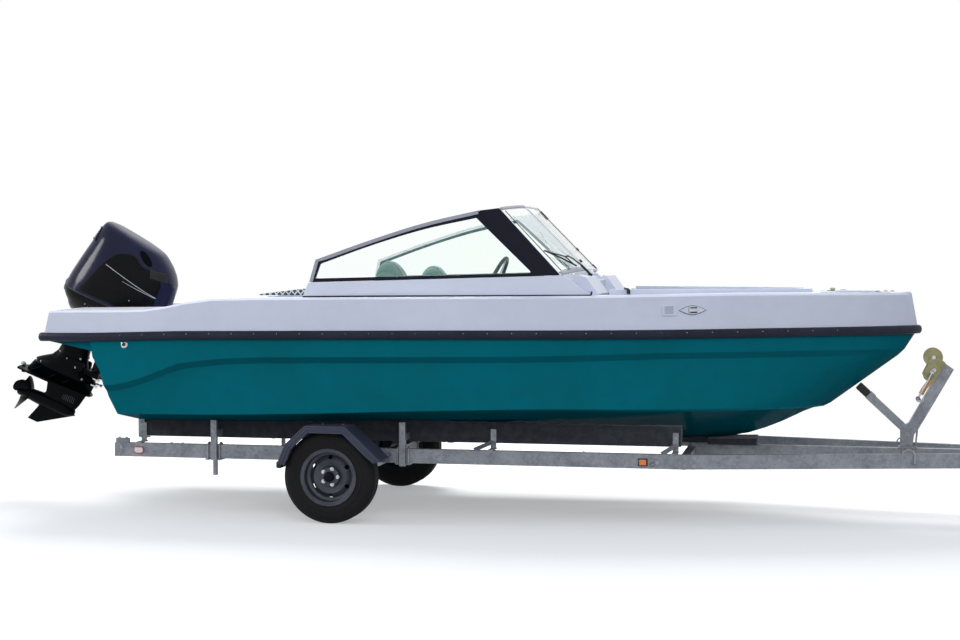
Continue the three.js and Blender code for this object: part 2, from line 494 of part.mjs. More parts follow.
// blade sections: radius, half chord, middle along the shaft, half thickness; the pitch is even
const PITCH = 480;
const bladeRows = [[36, 44, -707, 6], [80, 62, -722, 5], [125, 59, -738, 4], [150, 42, -750, 3],
  [PROP_R - 2, 14, -757, 2]];
const blade = (turn) => {
  const g = loft(bladeRows.map(([r, chord, middle, t]) => {
    const a = Math.atan(PITCH / (2 * Math.PI * r));
    return [[-chord, -t], [chord, -t], [chord, t], [-chord, t]].map(([u, v]) => [
      middle + u * Math.sin(a) + v * Math.cos(a), u * Math.cos(a) - v * Math.sin(a),
        Math.sqrt(r * r - (u * Math.cos(a)) ** 2)]);
  }));
  return g.rotateX(turn);
};
const thirds = [0, 1, 2].map((k) => blade(k * 2 * Math.PI / 3 + Math.PI / 3));
const prop = new THREE.Group();
prop.position.set(0, 0, PROP_Z);
engine.add(prop);
add('propeller', join(hub, ...thirds), NAVY, prop);

// lower cowl and the hood above it
add('engine_pan', rings([[46.5, -604, -40, 110], [75, -620, -25, 160], [110, -636, 6, 192],
  [140, -664, 40, 208], [165, -681, 84, 220], [188, -691, 123, 227], [210, -693, 143, 231]], 2.6),
  NAVY, engine);
add('engine_cowl', rings([[210.4, -693, 146, 232], [300, -681, 149, 234], [400, -659, 146, 230],
  [507, -633, 140, 220], [565, -618, 114, 211], [625, -603, 67, 200], [672, -590, 12, 190],
  [708, -581, -43, 178], [738, -572, -160, 160],
  [762, -562, -310, 134], [780, -550, -440, 92], [787, -540, -490, 44]], 2.6), NAVY, engine);

// ---- trailer --------------------------------------------------------------------------------
const [F0, F1] = FRAME_Z;
const armEnd = [7480, 70];
const armAlong = (x) => FRAME_Y - (x - SPLICE_X) * (FRAME_Y - armEnd[1]) / (armEnd[0] - SPLICE_X);
const member = slab('z', [[447, FRAME_Y - 25], [447, FRAME_Y + 25], [SPLICE_X, FRAME_Y + 25],
  [armEnd[0], armEnd[1] + 25],
  [armEnd[0], armEnd[1] - 25], [SPLICE_X, FRAME_Y - 25]], F0, F1);
const post = (x, low, high) => [box(x - 22, x + 22, FRAME_Y + 24, FRAME_Y + 56, low, high),
  box(x - 22, x + 22, 660.5, FRAME_Y + 30, 560, 606)];
const bracket = (x) => [box(x - 20, x + 20, 640, FRAME_Y + 20, F1 - 1, F1 + 8), box(x - 20, x + 20, 660.5,
  668, F1 - 1, 640)];
const stay = (x, z) => box(x - 12, x + 12, FRAME_Y + 20, 867.5, z, z + 14);
pair('side_member', join(member, ...post(1220, 392, 680),
  box(1215, 1243, FRAME_Y + 27, FRAME_Y + 53, 283, 400), ...post(2619, 380, 690), ...bracket(632),
  ...bracket(3248),
  ...bracket(4528), stay(1827, 432), stay(2521, 455), box(452, 552, FRAME_Y - 12, FRAME_Y + 12, F1 - 1,
    F1 + 32)), ZINC);
add('centre_beam', join(box(4600, 7720, -40, 40, 420, 500), slab('z', [[4560, -724.5], [4593, -724.5],
  [4620, -718], [4620, 718], [4593, 724.5], [4560, 724.5]], 410, 480),
  box(4600, 4680, -35, 35, 499, 512)), ZINC);
add('rear_crossbar', box(1920, 1980, -(FRAME_Y - 25.5), FRAME_Y - 25.5, 410, 480), ZINC);
const axleX = WHEEL.x + 150;
const armSide = join(slab('y', [[axleX + 40, 322], [axleX + 40, 390], [WHEEL.x - 30, 352], [WHEEL.x - 40,
  322],
  [WHEEL.x - 30, 292]], 789, 826), rod([WHEEL.x, 820, WHEEL.r], [WHEEL.x, 900, WHEEL.r], 22, 20),
  box(axleX - 60, axleX + 60, FRAME_Y - 25, FRAME_Y + 25, 380, F0 - GAP));
add('axle_beam', join(box(axleX - 35, axleX + 35, -790, 790, 328, 398), armSide, mirrored(armSide)), ZINC);
const half = WHEEL.width / 2;
const tyreProfile = [[WHEEL.rim + 1, -half + 18], [WHEEL.rim + 24, -half + 4], [WHEEL.r - 60, -half],
  [WHEEL.r - 18, -half + 16],
  [WHEEL.r, -half + 46], [WHEEL.r, half - 46], [WHEEL.r - 18, half - 16], [WHEEL.r - 60, half],
  [WHEEL.rim + 24, half - 4], [WHEEL.rim + 1, half - 18], [WHEEL.rim + 1, -half + 18]];
const atWheel = (g) => moved(g, WHEEL.x, WHEEL.y, WHEEL.r);
pair('tyre', atWheel(turned(tyreProfile, 36)), RUBBER);
const rimProfile = [[23, -96], [60, -96], [62, 10], [120, 22], [150, 4], [168, -30], [168, -60],
  [WHEEL.rim + 11, -half + 1],
  [WHEEL.rim, -half + 19], [WHEEL.rim, half - 19], [WHEEL.rim + 11, half - 1], [174, half - 8], [170, 30],
    [150, 22],
  [118, 40], [70, 28], [66, 52], [0, 60], [0, 6], [23, 6], [23, -96]];
const rimHoles = [0, 1, 2, 3, 4, 5].map((k) => {
  const a = (k + 0.5) * Math.PI / 3, r = 136;
  return rod([r * Math.cos(a), -60, r * Math.sin(a)], [r * Math.cos(a), 90, r * Math.sin(a)], 17, 8);
});
pair('wheel_rim', atWheel(cut(turned(rimProfile, 28), turned(tyreProfile.map(([r, y]) => [r - 0.6, y]),
  36), ...rimHoles)),
  BLACK);

// fenders: eight sided arch over the tyre
const arch = (r) => [[1806, 417], [1858, 548], [2004, 682], [2290, 682], [2486, 502],
  [2544, 449]].map(([x, z]) => {
  const dx = x - 2185, dz = z - 330, d = Math.hypot(dx, dz);
  return [x - dx / d * r, z - dz / d * r];
});
pair('fender', join(slab('y', [...arch(0), ...arch(14).reverse()], 868, 1132),
  slab('y', [...arch(0), ...arch(48).reverse()], 1118, 1132)), FENDER);

// bunks with their posts, keel pad and bow post
const bunk = cut(slab('y', [[612, 541], [612, 702], [2500, 700], [3250, 689], [3720, 681], [4567, 683],
  [4567, 541]], 560, 660), moved(hullShell, 0, 0, -0.4));
const bunkBody = solid(bunk).decompose().map(shape).sort((a, b) => {
  a.computeBoundingBox(); b.computeBoundingBox(); return a.boundingBox.min.z - b.boundingBox.min.z; })[0];
pair('bunk', bunkBody, CARPET);
const pad = cut(join(slab('y', [[4210, 512.4], [5062, 512.4], [5062, 559], [4650, 551], [4210, 545]], -60,
  60), slab('y', [[4715, 512.4], [5062, 512.4], [5062, 559], [4715, 552]], -150, 150)),
  moved(hullShell, 0, 0, -0.4));
add('keel_pad', solid(pad).decompose().map(shape).sort((a, b) => {
  a.computeBoundingBox(); b.computeBoundingBox(); return a.boundingBox.min.z - b.boundingBox.min.z; })[0],
    CARPET);

// forward face, foot to head
const postSide = [[6146, F1 + 5], [6158, 600], [6190, 644], [6425, 1062], [6357, 1110]];
add('bow_post', join(box(6050, 6180, -60, 60, F1 + GAP, F1 + 10),
  slab('y', [...postSide, [6122, 680], [6062, 640], [6062, F1 + 5]], -38, 38),
  slab('y', [[6164, F1 + 5], [6172, F1 + 5], [6186, 640], [6176, 640]], -38, 38),
  bar([6095, 0, 634], [5837, 0, 875], 56, 74, [0, 1, 0])), ZINC);
add('bow_stop', cut(bar([5837.6, 0, 878.4], [5770, 0, 941], 56, 66, [0, 1, 0]), moved(hullShell, 0.4, 0,
  -0.4)), RUBBER);

// winch on the post: frame, drum and crank
const winchSide = slab('y', [[WINCH.x - 62, WINCH.z - 20], [WINCH.x - 20, WINCH.z + 66], [WINCH.x + 40,
  WINCH.z + 60],
  [WINCH.x + 76, WINCH.z + 10], [WINCH.x + 140, WINCH.z - 48], [WINCH.x + 80, WINCH.z - 130],
    [WINCH.x - 30, WINCH.z - 150]], 44, 50);
const postFace = slab('y', [...postSide.slice(2), [6122, 680]], -39, 39);
add('winch_frame', cut(join(winchSide, mirrored(winchSide), slab('y', [[6320, 1045], [6356, 1111],
  [6346, 1117],
  [6310, 1051]], -46, 46)), rod([WINCH.x, -60, WINCH.z], [WINCH.x, 60, WINCH.z], 9, 16),
  rod([WINCH.x - 10, -60, WINCH.z - 105], [WINCH.x - 10, 60, WINCH.z - 105], 8.5, 16), postFace), YELLOW);
const drumAt = new THREE.Group();
drumAt.position.set(WINCH.x, 0, WINCH.z);
group.add(drumAt);
add('winch_drum', turned([[0, -56], [8, -56], [8, -36], [52, -36], [52, -32], [34, -32], [34, 32],
  [52, 32], [52, 36], [8, 36],
  [8, 56], [0, 56]], 28), YELLOW, drumAt);
const crankAt = new THREE.Group();
crankAt.position.set(WINCH.x - 10, 0, WINCH.z - 105);
group.add(crankAt);
add('winch_crank', join(rod([0, -82, 0], [0, 36, 0], 7.5, 16), bar([0, -75, 0], [-96, -75, -185], 8, 24,
  [0, 1, 0]),
  rod([-96, -79, -185], [-96, -190, -185], 14, 16)), STEEL, crankAt);

// coupling head, jockey wheel and side lamps
const headSide = box(7600, 7800, 40.4, 56, 430, 490);
add('coupling_head', cut(join(headSide, mirrored(headSide), box(7722, 7800, -56, 56, 430, 490),
  slab('y', [[7780, 430], [7780, 500], [7850, 516], [7930, 500], [7946, 430]], -48, 48)),
  rod([COUPLING_X, 0, 380], [COUPLING_X, 0, 470], 26, 24)), ZINC);
const JY = -190;
add('jockey_clamp', cut(join(box(JOCKEY_X - 40, JOCKEY_X + 40, JY + 20, -armAlong(JOCKEY_X) - 31, 425, 495),
  rod([JOCKEY_X, JY, 385], [JOCKEY_X, JY, 800], 32, 24), rod([JOCKEY_X, JY, 790], [JOCKEY_X, JY, 830], 10,
    12),
  box(JOCKEY_X - 8, JOCKEY_X + 100, JY - 8, JY + 8, 824, 834), rod([JOCKEY_X + 92, JY, 826],
    [JOCKEY_X + 92, JY, 880], 10, 12)),
  rod([JOCKEY_X, JY, 370], [JOCKEY_X, JY, 788], 27, 24),
  slab('z', [[7000, 0], [7000, -armAlong(7000) - 25.5], [7490, -armAlong(7490) - 25.5], [7490, 0]], 300,
    600)), ZINC);
const jockey = new THREE.Group();
jockey.position.set(JOCKEY_X, JY, 0);
group.add(jockey);
const tine = box(-70, 20, 38, 44, 88, 240);
add('jockey_tube', rod([0, 0, 245], [0, 0, 600], 24, 20), ZINC, jockey);
add('jockey_fork', join(box(-70, 30, -44, 44, 230, 244.5), tine, mirrored(tine),
  rod([-40, -44, 100], [-40, 44, 100], 8, 12)), ZINC, jockey);
add('jockey_wheel', turned([[9, -32], [30, -32], [30, -20], [92, -24], [100, -12], [100, 12], [92, 24],
  [30, 20], [30, 32],
  [9, 32], [9, -32]], 28).translate(-40, 0, 100), RUBBER, jockey);
pair('side_lamp', box(4288, 4338, FRAME_Y + 25.4, FRAME_Y + 43, 424, 464), ORANGE);

export default group;
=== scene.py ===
# Outboard motorboat on its trailer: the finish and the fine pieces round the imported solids.
# Metres, +X to the bow, +Y to port, +Z up. Lengths given as x are from the aft end of the rub rail.
import json
import math

import bmesh
import bpy
from mathutils import Matrix, Vector

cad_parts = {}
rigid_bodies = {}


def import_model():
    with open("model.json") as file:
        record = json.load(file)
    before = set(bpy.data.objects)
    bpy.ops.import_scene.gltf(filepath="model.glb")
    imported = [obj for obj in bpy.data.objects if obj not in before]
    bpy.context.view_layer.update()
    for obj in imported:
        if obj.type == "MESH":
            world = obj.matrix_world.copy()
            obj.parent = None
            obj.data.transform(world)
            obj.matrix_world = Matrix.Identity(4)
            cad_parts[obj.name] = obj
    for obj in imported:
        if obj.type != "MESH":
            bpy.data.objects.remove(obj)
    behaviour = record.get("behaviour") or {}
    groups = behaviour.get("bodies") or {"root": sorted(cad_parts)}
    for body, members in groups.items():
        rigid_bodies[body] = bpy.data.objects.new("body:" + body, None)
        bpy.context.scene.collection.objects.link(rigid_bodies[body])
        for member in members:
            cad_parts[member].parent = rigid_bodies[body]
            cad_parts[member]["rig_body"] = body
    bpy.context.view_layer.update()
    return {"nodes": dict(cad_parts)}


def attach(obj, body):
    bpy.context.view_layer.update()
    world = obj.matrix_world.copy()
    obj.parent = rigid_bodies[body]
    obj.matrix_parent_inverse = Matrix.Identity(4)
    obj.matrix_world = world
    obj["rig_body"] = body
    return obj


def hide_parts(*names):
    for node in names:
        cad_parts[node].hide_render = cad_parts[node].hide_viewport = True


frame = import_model()

# ---- places and sizes ------------------------------------------------------------------------
MIDSHIPS = 3.6028                 # from the aft end of the rub rail to the origin
BEAM = 1.125                      # half breadth at the rub rail
STEM = 6.18                       # forward end of the sheer
TILT_AXIS = (0.3, 1.2)            # engine tilt axis, x and z
TILT = math.radians(22)           # how far the engine is tilted up at rest
PROP_DOWN = -0.722                # propeller axis, engine frame
FRAME_SIDE = 0.775                # outer face of the trailer's side members
FRAME_MID = 0.75                  # middle of the side members
SPLICE = 4.593                    # where the side members meet the drawbar arms
ARM_END = (7.48, 0.07)            # forward end of the drawbar arms, x and y of the middle
WHEEL_X, WHEEL_Y, WHEEL_R, WHEEL_W = 2.161, 1.0, 0.325, 0.185
WINCH = (6.284, 1.147)            # winch drum axis, x and z
SOLE, SEAT_TOP = 0.925, 1.23      # cockpit floor and bow seat shelf
CONSOLE_TOP = 1.7215              # upper face of both consoles
SIDE_SCREEN = (0.905, 1.676, 0.17)  # half breadth and height of its foot, lean for each metre up
# x and z on the middle line, half breadth, how far the ends go aft and down
SCREEN_FOOT = (3.858, 1.76, 0.88, 0.1, 0.03)
SCREEN_HEAD = (3.398, 2.226, 0.815, 0.083, 0.034)
WALK = 0.28                       # half width of the way through to the bow
BOAT = "boat_and_trailer"
SIDES = (("starboard", -1), ("port", 1))
AHEAD, AFT, PORT, STARBOARD, UP = (1, 0, 0), (-1, 0, 0), (0, 1, 0), (0, -1, 0), (0, 0, 1)


def at(x, y, z):
    return Vector((x - MIDSHIPS, y, z))


FROM_AFT = at(0, 0, 0)            # moves a form whose x is from the aft end of the rub rail
ENGINE = Matrix.Translation(at(TILT_AXIS[0], 0, TILT_AXIS[1])) @ Matrix.Rotation(TILT, 4, "Y")


def curve_through(rows):
    """Monotone cubic through rows of (place, value)."""
    n = len(rows)
    slope = [(rows[i + 1][1] - rows[i][1]) / (rows[i + 1][0] - rows[i][0]) for i in range(n - 1)]
    lean = []
    for i in range(n):
        a, b = slope[max(i - 1, 0)], slope[min(i, n - 2)]
        lean.append(0 if a * b <= 0 else 2 * a * b / (a + b))

    def value(x):
        if x <= rows[0][0]:
            return rows[0][1]
        if x >= rows[-1][0]:
            return rows[-1][1]
        i = 0
        while x > rows[i + 1][0]:
            i += 1
        h = rows[i + 1][0] - rows[i][0]
        t = (x - rows[i][0]) / h
        u = 1 - t
        return (rows[i][1] * (1 + 2 * t) * u * u + rows[i + 1][1] * t * t * (3 - 2 * t)
                + h * (lean[i] * t * u * u - lean[i + 1] * t * t * u))

    return value


rail_height = curve_through([(0, 1.284), (0.36, 1.286), (0.8, 1.297), (1.25, 1.308), (2.27, 1.316),
                             (3.0, 1.324), (4.5, 1.333), (5.2, 1.34), (6.2, 1.344)])
deck_height = curve_through([(0.07, 1.47), (0.751, 1.478), (1.32, 1.56), (1.97, 1.571), (4.05, 1.59),
                             (5.02, 1.605), (6.136, 1.6)])


def bow_taper(half, start, end, full, roundness):
    def breadth(x):
        t = min(max((x - start) / (end - start), 0), 1)
        return half * (1 - t ** full) ** roundness
    return breadth


sheer_breadth = bow_taper(BEAM, 3.0, STEM, 2.1, 0.85)
deck_breadth = bow_taper(BEAM - 0.038, 3.0, STEM - 0.044, 2.1, 0.85)


# ---- shapes before they are pieces -------------------------------------------------------------
class Form:
    """Points and faces of a shape."""

    def __init__(self, points=(), faces=()):
        self.points = [Vector(p) for p in points]
        self.faces = [tuple(f) for f in faces]

    def __add__(self, other):
        shift = len(self.points)
        return Form(self.points + other.points,
                    self.faces + [tuple(i + shift for i in f) for f in other.faces])

    def moved(self, matrix):
        if isinstance(matrix, Vector):
            matrix = Matrix.Translation(matrix)
        return Form([matrix @ p for p in self.points], self.faces)

    def mirrored(self):
        return Form([Vector((p.x, -p.y, p.z)) for p in self.points], [tuple(reversed(f)) for f in self.faces])


def gather(forms):
    whole = Form()
    for form in forms:
        whole = whole + form
    return whole


def spaced(a, b, steps):
    """Numbers from a to b, with the same step between."""
    return [a + (b - a) * k / steps for k in range(steps + 1)]


def turns_of(count):
    """The angles that part a full turn."""
    return [2 * math.pi * k / count for k in range(count)]


def circle(radius, count):
    return [(radius * math.cos(a), radius * math.sin(a)) for a in turns_of(count)]


def skin(rings, closed=False):
    """Rings with the same number of points joined one to the next."""
    n, points, faces = len(rings[0]), [p for ring in rings for p in ring], []
    for i in range(len(rings) if closed else len(rings) - 1):
        for j in range(n):
            k, up = (j + 1) % n, (i + 1) % len(rings)
            faces.append((i * n + j, i * n + k, up * n + k, up * n + j))
    if not closed:
        faces.append(tuple(reversed(range(n))))
        faces.append(tuple((len(rings) - 1) * n + j for j in range(n)))
    return Form(points, faces)


def prism(axis, outline, low, high):
    """A flat outline pushed along an axis: x takes (y, z), y takes (x, z), z takes (x, y)."""
    spot = {"x": lambda a, b, c: (c, a, b), "y": lambda a, b, c: (a, c, b),
            "z": lambda a, b, c: (a, b, c)}[axis]
    return skin([[spot(a, b, c) for a, b in outline] for c in (low, high)])


def block(x0, x1, y0, y1, z0, z1):
    return prism("z", [(x0, y0), (x1, y0), (x1, y1), (x0, y1)], z0, z1)


def facing(direction):
    """Turns +Z into a direction."""
    return Vector(direction).to_track_quat("Z", "Y").to_matrix().to_4x4()


def turned(profile, place=(0, 0, 0), direction=UP, steps=24):
    """A profile of (radius, height) turned about a line."""
    rings = [[(r * math.cos(a), r * math.sin(a), h) for a in turns_of(steps)] for r, h in profile]
    return skin(rings).moved(Matrix.Translation(Vector(place)) @ facing(direction))


def ring_round(profile, place, direction, steps=32):
    """A closed profile of (radius, height) carried once round a line."""
    rings = [[(r * math.cos(a), r * math.sin(a), h) for r, h in profile] for a in turns_of(steps)]
    return skin(rings, closed=True).moved(Matrix.Translation(Vector(place)) @ facing(direction))


def rod(a, b, radius, steps=12):
    a, b = Vector(a), Vector(b)
    return turned([(radius, 0), (radius, (b - a).length)], a, b - a, steps)


def smooth_path(points, count):
    """A Catmull-Rom line through points, with count places between each two."""
    pts = [Vector(p) for p in points]
    ends = [pts[0] * 2 - pts[1], *pts, pts[-1] * 2 - pts[-2]]
    out = []
    for i in range(1, len(ends) - 2):
        p0, p1, p2, p3 = ends[i - 1:i + 3]
        for k in range(count):
            t = k / count
            out.append(0.5 * (2 * p1 + (p2 - p0) * t + (2 * p0 - 5 * p1 + 4 * p2 - p3) * t * t
                              + (3 * p1 - p0 - 3 * p2 + p3) * t ** 3))
    return out + [pts[-1]]


def swept(path, section, closed=False, up=UP):
    """A section of (across, up) carried along a path, or a round one if section is a radius."""
    pts = [Vector(p) for p in path]
    if not isinstance(section, (list, tuple)):
        section = circle(section, 10)
    rings, n, rise = [], len(pts), Vector(up)
    for i, p in enumerate(pts):
        before = pts[(i - 1) % n] if closed or i else p
        after = pts[(i + 1) % n] if closed or i < n - 1 else p
        along = (after - before).normalized()
        side = rise.cross(along)
        side = side.normalized() if side.length > 1e-6 else along.orthogonal().normalized()
        rise = along.cross(side).normalized()
        rings.append([p + side * a + rise * b for a, b in section])
    return skin(rings, closed=closed)


def bolt(place, direction, size=0.008, length=0.0):
    """A hexagon head with its washer, and the threaded end that stands out of it."""
    base, high = 0.002, size * 0.75
    form = prism("z", circle(size, 6), base, base + high) + turned([(size * 1.5, 0), (size * 1.5, base)],
                                                                   steps=16)
    if length:
        end = [(size * 0.5, base + size * 0.7), (size * 0.5, base + high + length)]
        form = form + turned(end, steps=10)
    return form.moved(Matrix.Translation(Vector(place)) @ facing(direction))


def bolts(places, direction, size=0.008, length=0.0):
    return gather([bolt(place, direction, size, length) for place in places])


def flat(across, up):
    """The corners of a rectangle, from half its sizes."""
    return [(-across, -up), (across, -up), (across, up), (-across, up)]


def dome(place, direction, radius, height, steps=16):
    rows = [(radius * math.cos(a), height * math.sin(a)) for a in (0, 0.45, 0.9, 1.3)]
    return turned(rows + [(radius * 0.04, height)], place, direction, steps)


def u_bolt(x, y, low, high, width, radius=0.006, across="x"):
    """A bent rod over a member, with its nuts below. The middle of the bend is on top."""
    step = (lambda s: Vector((s, 0, 0))) if across == "x" else (lambda s: Vector((0, s, 0)))
    r, mid = width / 2, at(x, y, 0)
    arc = [mid + step(-r) + Vector((0, 0, low)), mid + step(-r) + Vector((0, 0, high - r))]
    arc += [mid + step(-r * math.cos(t)) + Vector((0, 0, high - r + r * math.sin(t)))
            for t in [math.pi * k / 8 for k in range(1, 8)]]
    arc += [mid + step(r) + Vector((0, 0, high - r)), mid + step(r) + Vector((0, 0, low))]
    nuts = [bolt(mid + step(s * r) + Vector((0, 0, low + 0.006)), UP, 0.01) for s in (-1, 1)]
    return swept(arc, radius, up=PORT if across == "x" else AHEAD) + gather(nuts)


# ---- pieces ----------------------------------------------------------------------------------
WELD = 2e-5                       # points closer than this are one point


def piece(name, form, finish, body=BOAT, rounded=0.0, sharp=38, stands_for=(), mirror=False):
    """Makes the object: welded, faces out, edges rounded if a width is given, then put on its body."""
    if mirror:
        form = form + form.mirrored()
    mesh = bpy.data.meshes.new(name)
    mesh.from_pydata(form.points, [], form.faces)
    shape = bmesh.new()
    shape.from_mesh(mesh)
    bmesh.ops.remove_doubles(shape, verts=shape.verts, dist=WELD)
    bmesh.ops.dissolve_degenerate(shape, edges=shape.edges, dist=1e-6)
    bmesh.ops.recalc_face_normals(shape, faces=shape.faces)
    shape.to_mesh(mesh)
    shape.free()
    thing = bpy.data.objects.new(name, mesh)
    bpy.context.scene.collection.objects.link(thing)
    mesh.materials.append(FINISHES[finish][0])
    mesh.shade_smooth()
    if rounded:
        bevel = thing.modifiers.new("round", "BEVEL")
        bevel.width, bevel.segments, bevel.limit_method = rounded, 2, "ANGLE"
        bevel.angle_limit, bevel.harden_normals = math.radians(sharp), True
        bevel.miter_outer = "MITER_SHARP"
    else:
        mesh.set_sharp_from_angle(angle=math.radians(sharp))
    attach(thing, body)
    if stands_for:
        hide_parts(*([stands_for] if isinstance(stands_for, str) else stands_for))
    return thing


def form_of(node):
    """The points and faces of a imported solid."""
    mesh = frame["nodes"][node].data
    return Form([v.co for v in mesh.vertices], [tuple(p.vertices) for p in mesh.polygons])


def joined_flats(form):
    """Triangles that lie in one plane made into one face."""
    mesh = bpy.data.meshes.new("flats")
    mesh.from_pydata(form.points, [], form.faces)
    shape = bmesh.new()
    shape.from_mesh(mesh)
    bmesh.ops.remove_doubles(shape, verts=shape.verts, dist=WELD)
    bmesh.ops.dissolve_limit(shape, angle_limit=math.radians(0.6), use_dissolve_boundaries=False,
                             verts=shape.verts, edges=shape.edges)
    shape.to_mesh(mesh)
    shape.free()
    joined = Form([v.co for v in mesh.vertices], [tuple(p.vertices) for p in mesh.polygons])
    bpy.data.meshes.remove(mesh)
    return joined


def rounded_node(node, finish, rounded, sharp):
    """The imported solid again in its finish, with its edges rounded if a width is given."""
    form = joined_flats(form_of(node))
    return piece(f"{node}_finished", form, finish, frame["nodes"][node]["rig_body"], rounded, sharp,
                 stands_for=node)


# ---- finishes --------------------------------------------------------------------------------
def linear(r, g, b):
    """Display values from 0 to 255 as the shader's colour."""
    return tuple(((v / 255) / 12.92 if v <= 10.3 else ((v / 255 + 0.055) / 1.055) ** 2.4)
                 for v in (r, g, b)) + (1,)


class Graph:
    """A few short words for building a node tree."""

    def __init__(self, tree):
        self.tree = tree

    def node(self, kind, _settings=None, **inputs):
        made = self.tree.nodes.new("ShaderNode" + kind)
        for key, value in (_settings or {}).items():
            setattr(made, key, value)
        for key, value in inputs.items():
            key = int(key[1:]) if key[0] == "i" and key[1:].isdigit() else key.replace("_", " ")
            if isinstance(value, bpy.types.NodeSocket):
                self.tree.links.new(value, made.inputs[key])
            elif isinstance(value, bpy.types.Node):
                self.tree.links.new(value.outputs[0], made.inputs[key])
            else:
                made.inputs[key].default_value = value
        return made

    def maths(self, what, a, b=0.0):
        return self.node("Math", {"operation": what}, i0=a, i1=b).outputs[0]

    def times(self, a, b):
        return self.maths("MULTIPLY", a, b)

    def plus(self, a, b):
        return self.maths("ADD", a, b)

    def cloud(self, place, scale, detail, **more):
        return self.node("TexNoise", Vector=place, Scale=scale, Detail=detail, **more).outputs["Fac"]

    def blend(self, factor, a, b):
        made = self.node("Mix", {"data_type": "RGBA"})
        for index, value in ((0, factor), (6, a), (7, b)):
            if isinstance(value, bpy.types.NodeSocket):
                self.tree.links.new(value, made.inputs[index])
            else:
                made.inputs[index].default_value = value
        return made.outputs[2]

    def span(self, value, a, b, c=0.0, d=1.0, smooth=True):
        made = self.node("MapRange", {"interpolation_type": "SMOOTHSTEP" if smooth else "LINEAR"},
                         Value=value)
        for key, number in (("From Min", a), ("From Max", b), ("To Min", c), ("To Max", d)):
            made.inputs[key].default_value = number
        return made.outputs[0]


def effect(name, ins, outs, build):
    """A shader node group: ins and outs are (name, kind, default)."""
    kinds = {"number": "NodeSocketFloat", "colour": "NodeSocketColor", "vector": "NodeSocketVector"}
    tree = bpy.data.node_groups.new(name, "ShaderNodeTree")
    for label, kind, default in ins:
        socket = tree.interface.new_socket(label, in_out="INPUT", socket_type=kinds[kind])
        if default is not None:
            socket.default_value = default
    for label, kind in outs:
        tree.interface.new_socket(label, in_out="OUTPUT", socket_type=kinds[kind])
    g = Graph(tree)
    given = tree.nodes.new("NodeGroupInput").outputs
    result = tree.nodes.new("NodeGroupOutput").inputs
    for label, value in build(g, given).items():
        tree.links.new(value, result[label])
    return tree


def build_tone(g, given):
    """Two slow noises that drift a colour and its gloss, as sun, dust and wiping do."""
    slow = g.cloud(given["Place"], given["Scale"], 5.0, Roughness=0.6)
    fine = g.cloud(given["Place"], g.times(given["Scale"], 9.0), 3.0)
    both = g.plus(g.times(slow, 0.7), g.times(fine, 0.3))
    mask = g.times(g.span(both, 0.36, 0.64), given["Amount"])
    return {"Colour": g.blend(mask, given["Colour"], given["Other"]),
            "Roughness": g.plus(given["Roughness"], g.times(mask, given["Spread"]))}


def build_grain(g, given):
    """Fine cells with a little noise, as in moulded plastic, vinyl and rubber."""
    cells = g.node("TexVoronoi", {"feature": "DISTANCE_TO_EDGE"}, Vector=given["Place"], Scale=given["Scale"])
    noise = g.cloud(given["Place"], g.times(given["Scale"], 0.35), 4.0)
    creased = g.span(cells.outputs["Distance"], 0.0, 0.18)
    return {"Height": g.plus(g.times(creased, given["Cells"]), noise)}


def build_spangle(g, given):
    """Zinc crystals: flat grey patches, each with its own tone, and dull runs."""
    cells = g.node("TexVoronoi", {"feature": "F1"}, Vector=given["Place"], Scale=given["Scale"],
                   Randomness=1.0)
    runs = g.cloud(given["Place"], g.times(given["Scale"], 0.12), 6.0, Roughness=0.65)
    tone = g.node("SeparateColor", Color=cells.outputs["Color"]).outputs[0]
    others = g.maths("SUBTRACT", 1.0, given["Crystals"])
    mix = g.plus(g.times(tone, given["Crystals"]), g.times(g.span(runs, 0.3, 0.7), others))
    return {"Colour": g.blend(mix, given["Dark"], given["Light"]),
            "Roughness": g.span(mix, 0.0, 1.0, 0.62, 0.4, False), "Height": runs}


def build_fibre(g, given):
    """Short fibres standing in all directions, as on needled carpet."""
    stretch = g.node("Mapping", Vector=given["Place"], Scale=(1.0, 1.0, 1.6)).outputs[0]
    wool = g.cloud(stretch, given["Scale"], 8.0, Roughness=0.75, Distortion=1.2)
    tufts = g.cloud(given["Place"], g.times(given["Scale"], 0.08), 3.0)
    lit = g.span(g.plus(g.times(wool, 0.75), g.times(tufts, 0.25)), 0.35, 0.66)
    return {"Colour": g.blend(lit, given["Dark"], given["Light"]), "Height": wool}


PLACE = ("Place", "vector", None)
TONE = effect("tone_drift", [PLACE, ("Colour", "colour", (1, 1, 1, 1)), ("Other", "colour", (1, 1, 1, 1)),
                             ("Scale", "number", 1.0), ("Amount", "number", 0.5),
                             ("Roughness", "number", 0.4), ("Spread", "number", 0.1)],
              [("Colour", "colour"), ("Roughness", "number")], build_tone)
GRAIN = effect("fine_grain", [PLACE, ("Scale", "number", 300.0), ("Cells", "number", 1.0)],
               [("Height", "number")], build_grain)
SPANGLE = effect("zinc_spangle", [PLACE, ("Light", "colour", (0.5, 0.5, 0.5, 1)),
                                  ("Dark", "colour", (0.3, 0.3, 0.3, 1)),
                                  ("Scale", "number", 60.0), ("Crystals", "number", 0.5)],
                 [("Colour", "colour"), ("Roughness", "number"), ("Height", "number")], build_spangle)
FIBRE = effect("needled_fibre", [PLACE, ("Light", "colour", (0.1, 0.1, 0.1, 1)),
                                 ("Dark", "colour", (0.02, 0.02, 0.02, 1)), ("Scale", "number", 300.0)],
               [("Colour", "colour"), ("Height", "number")], build_fibre)
FINISHES = {}


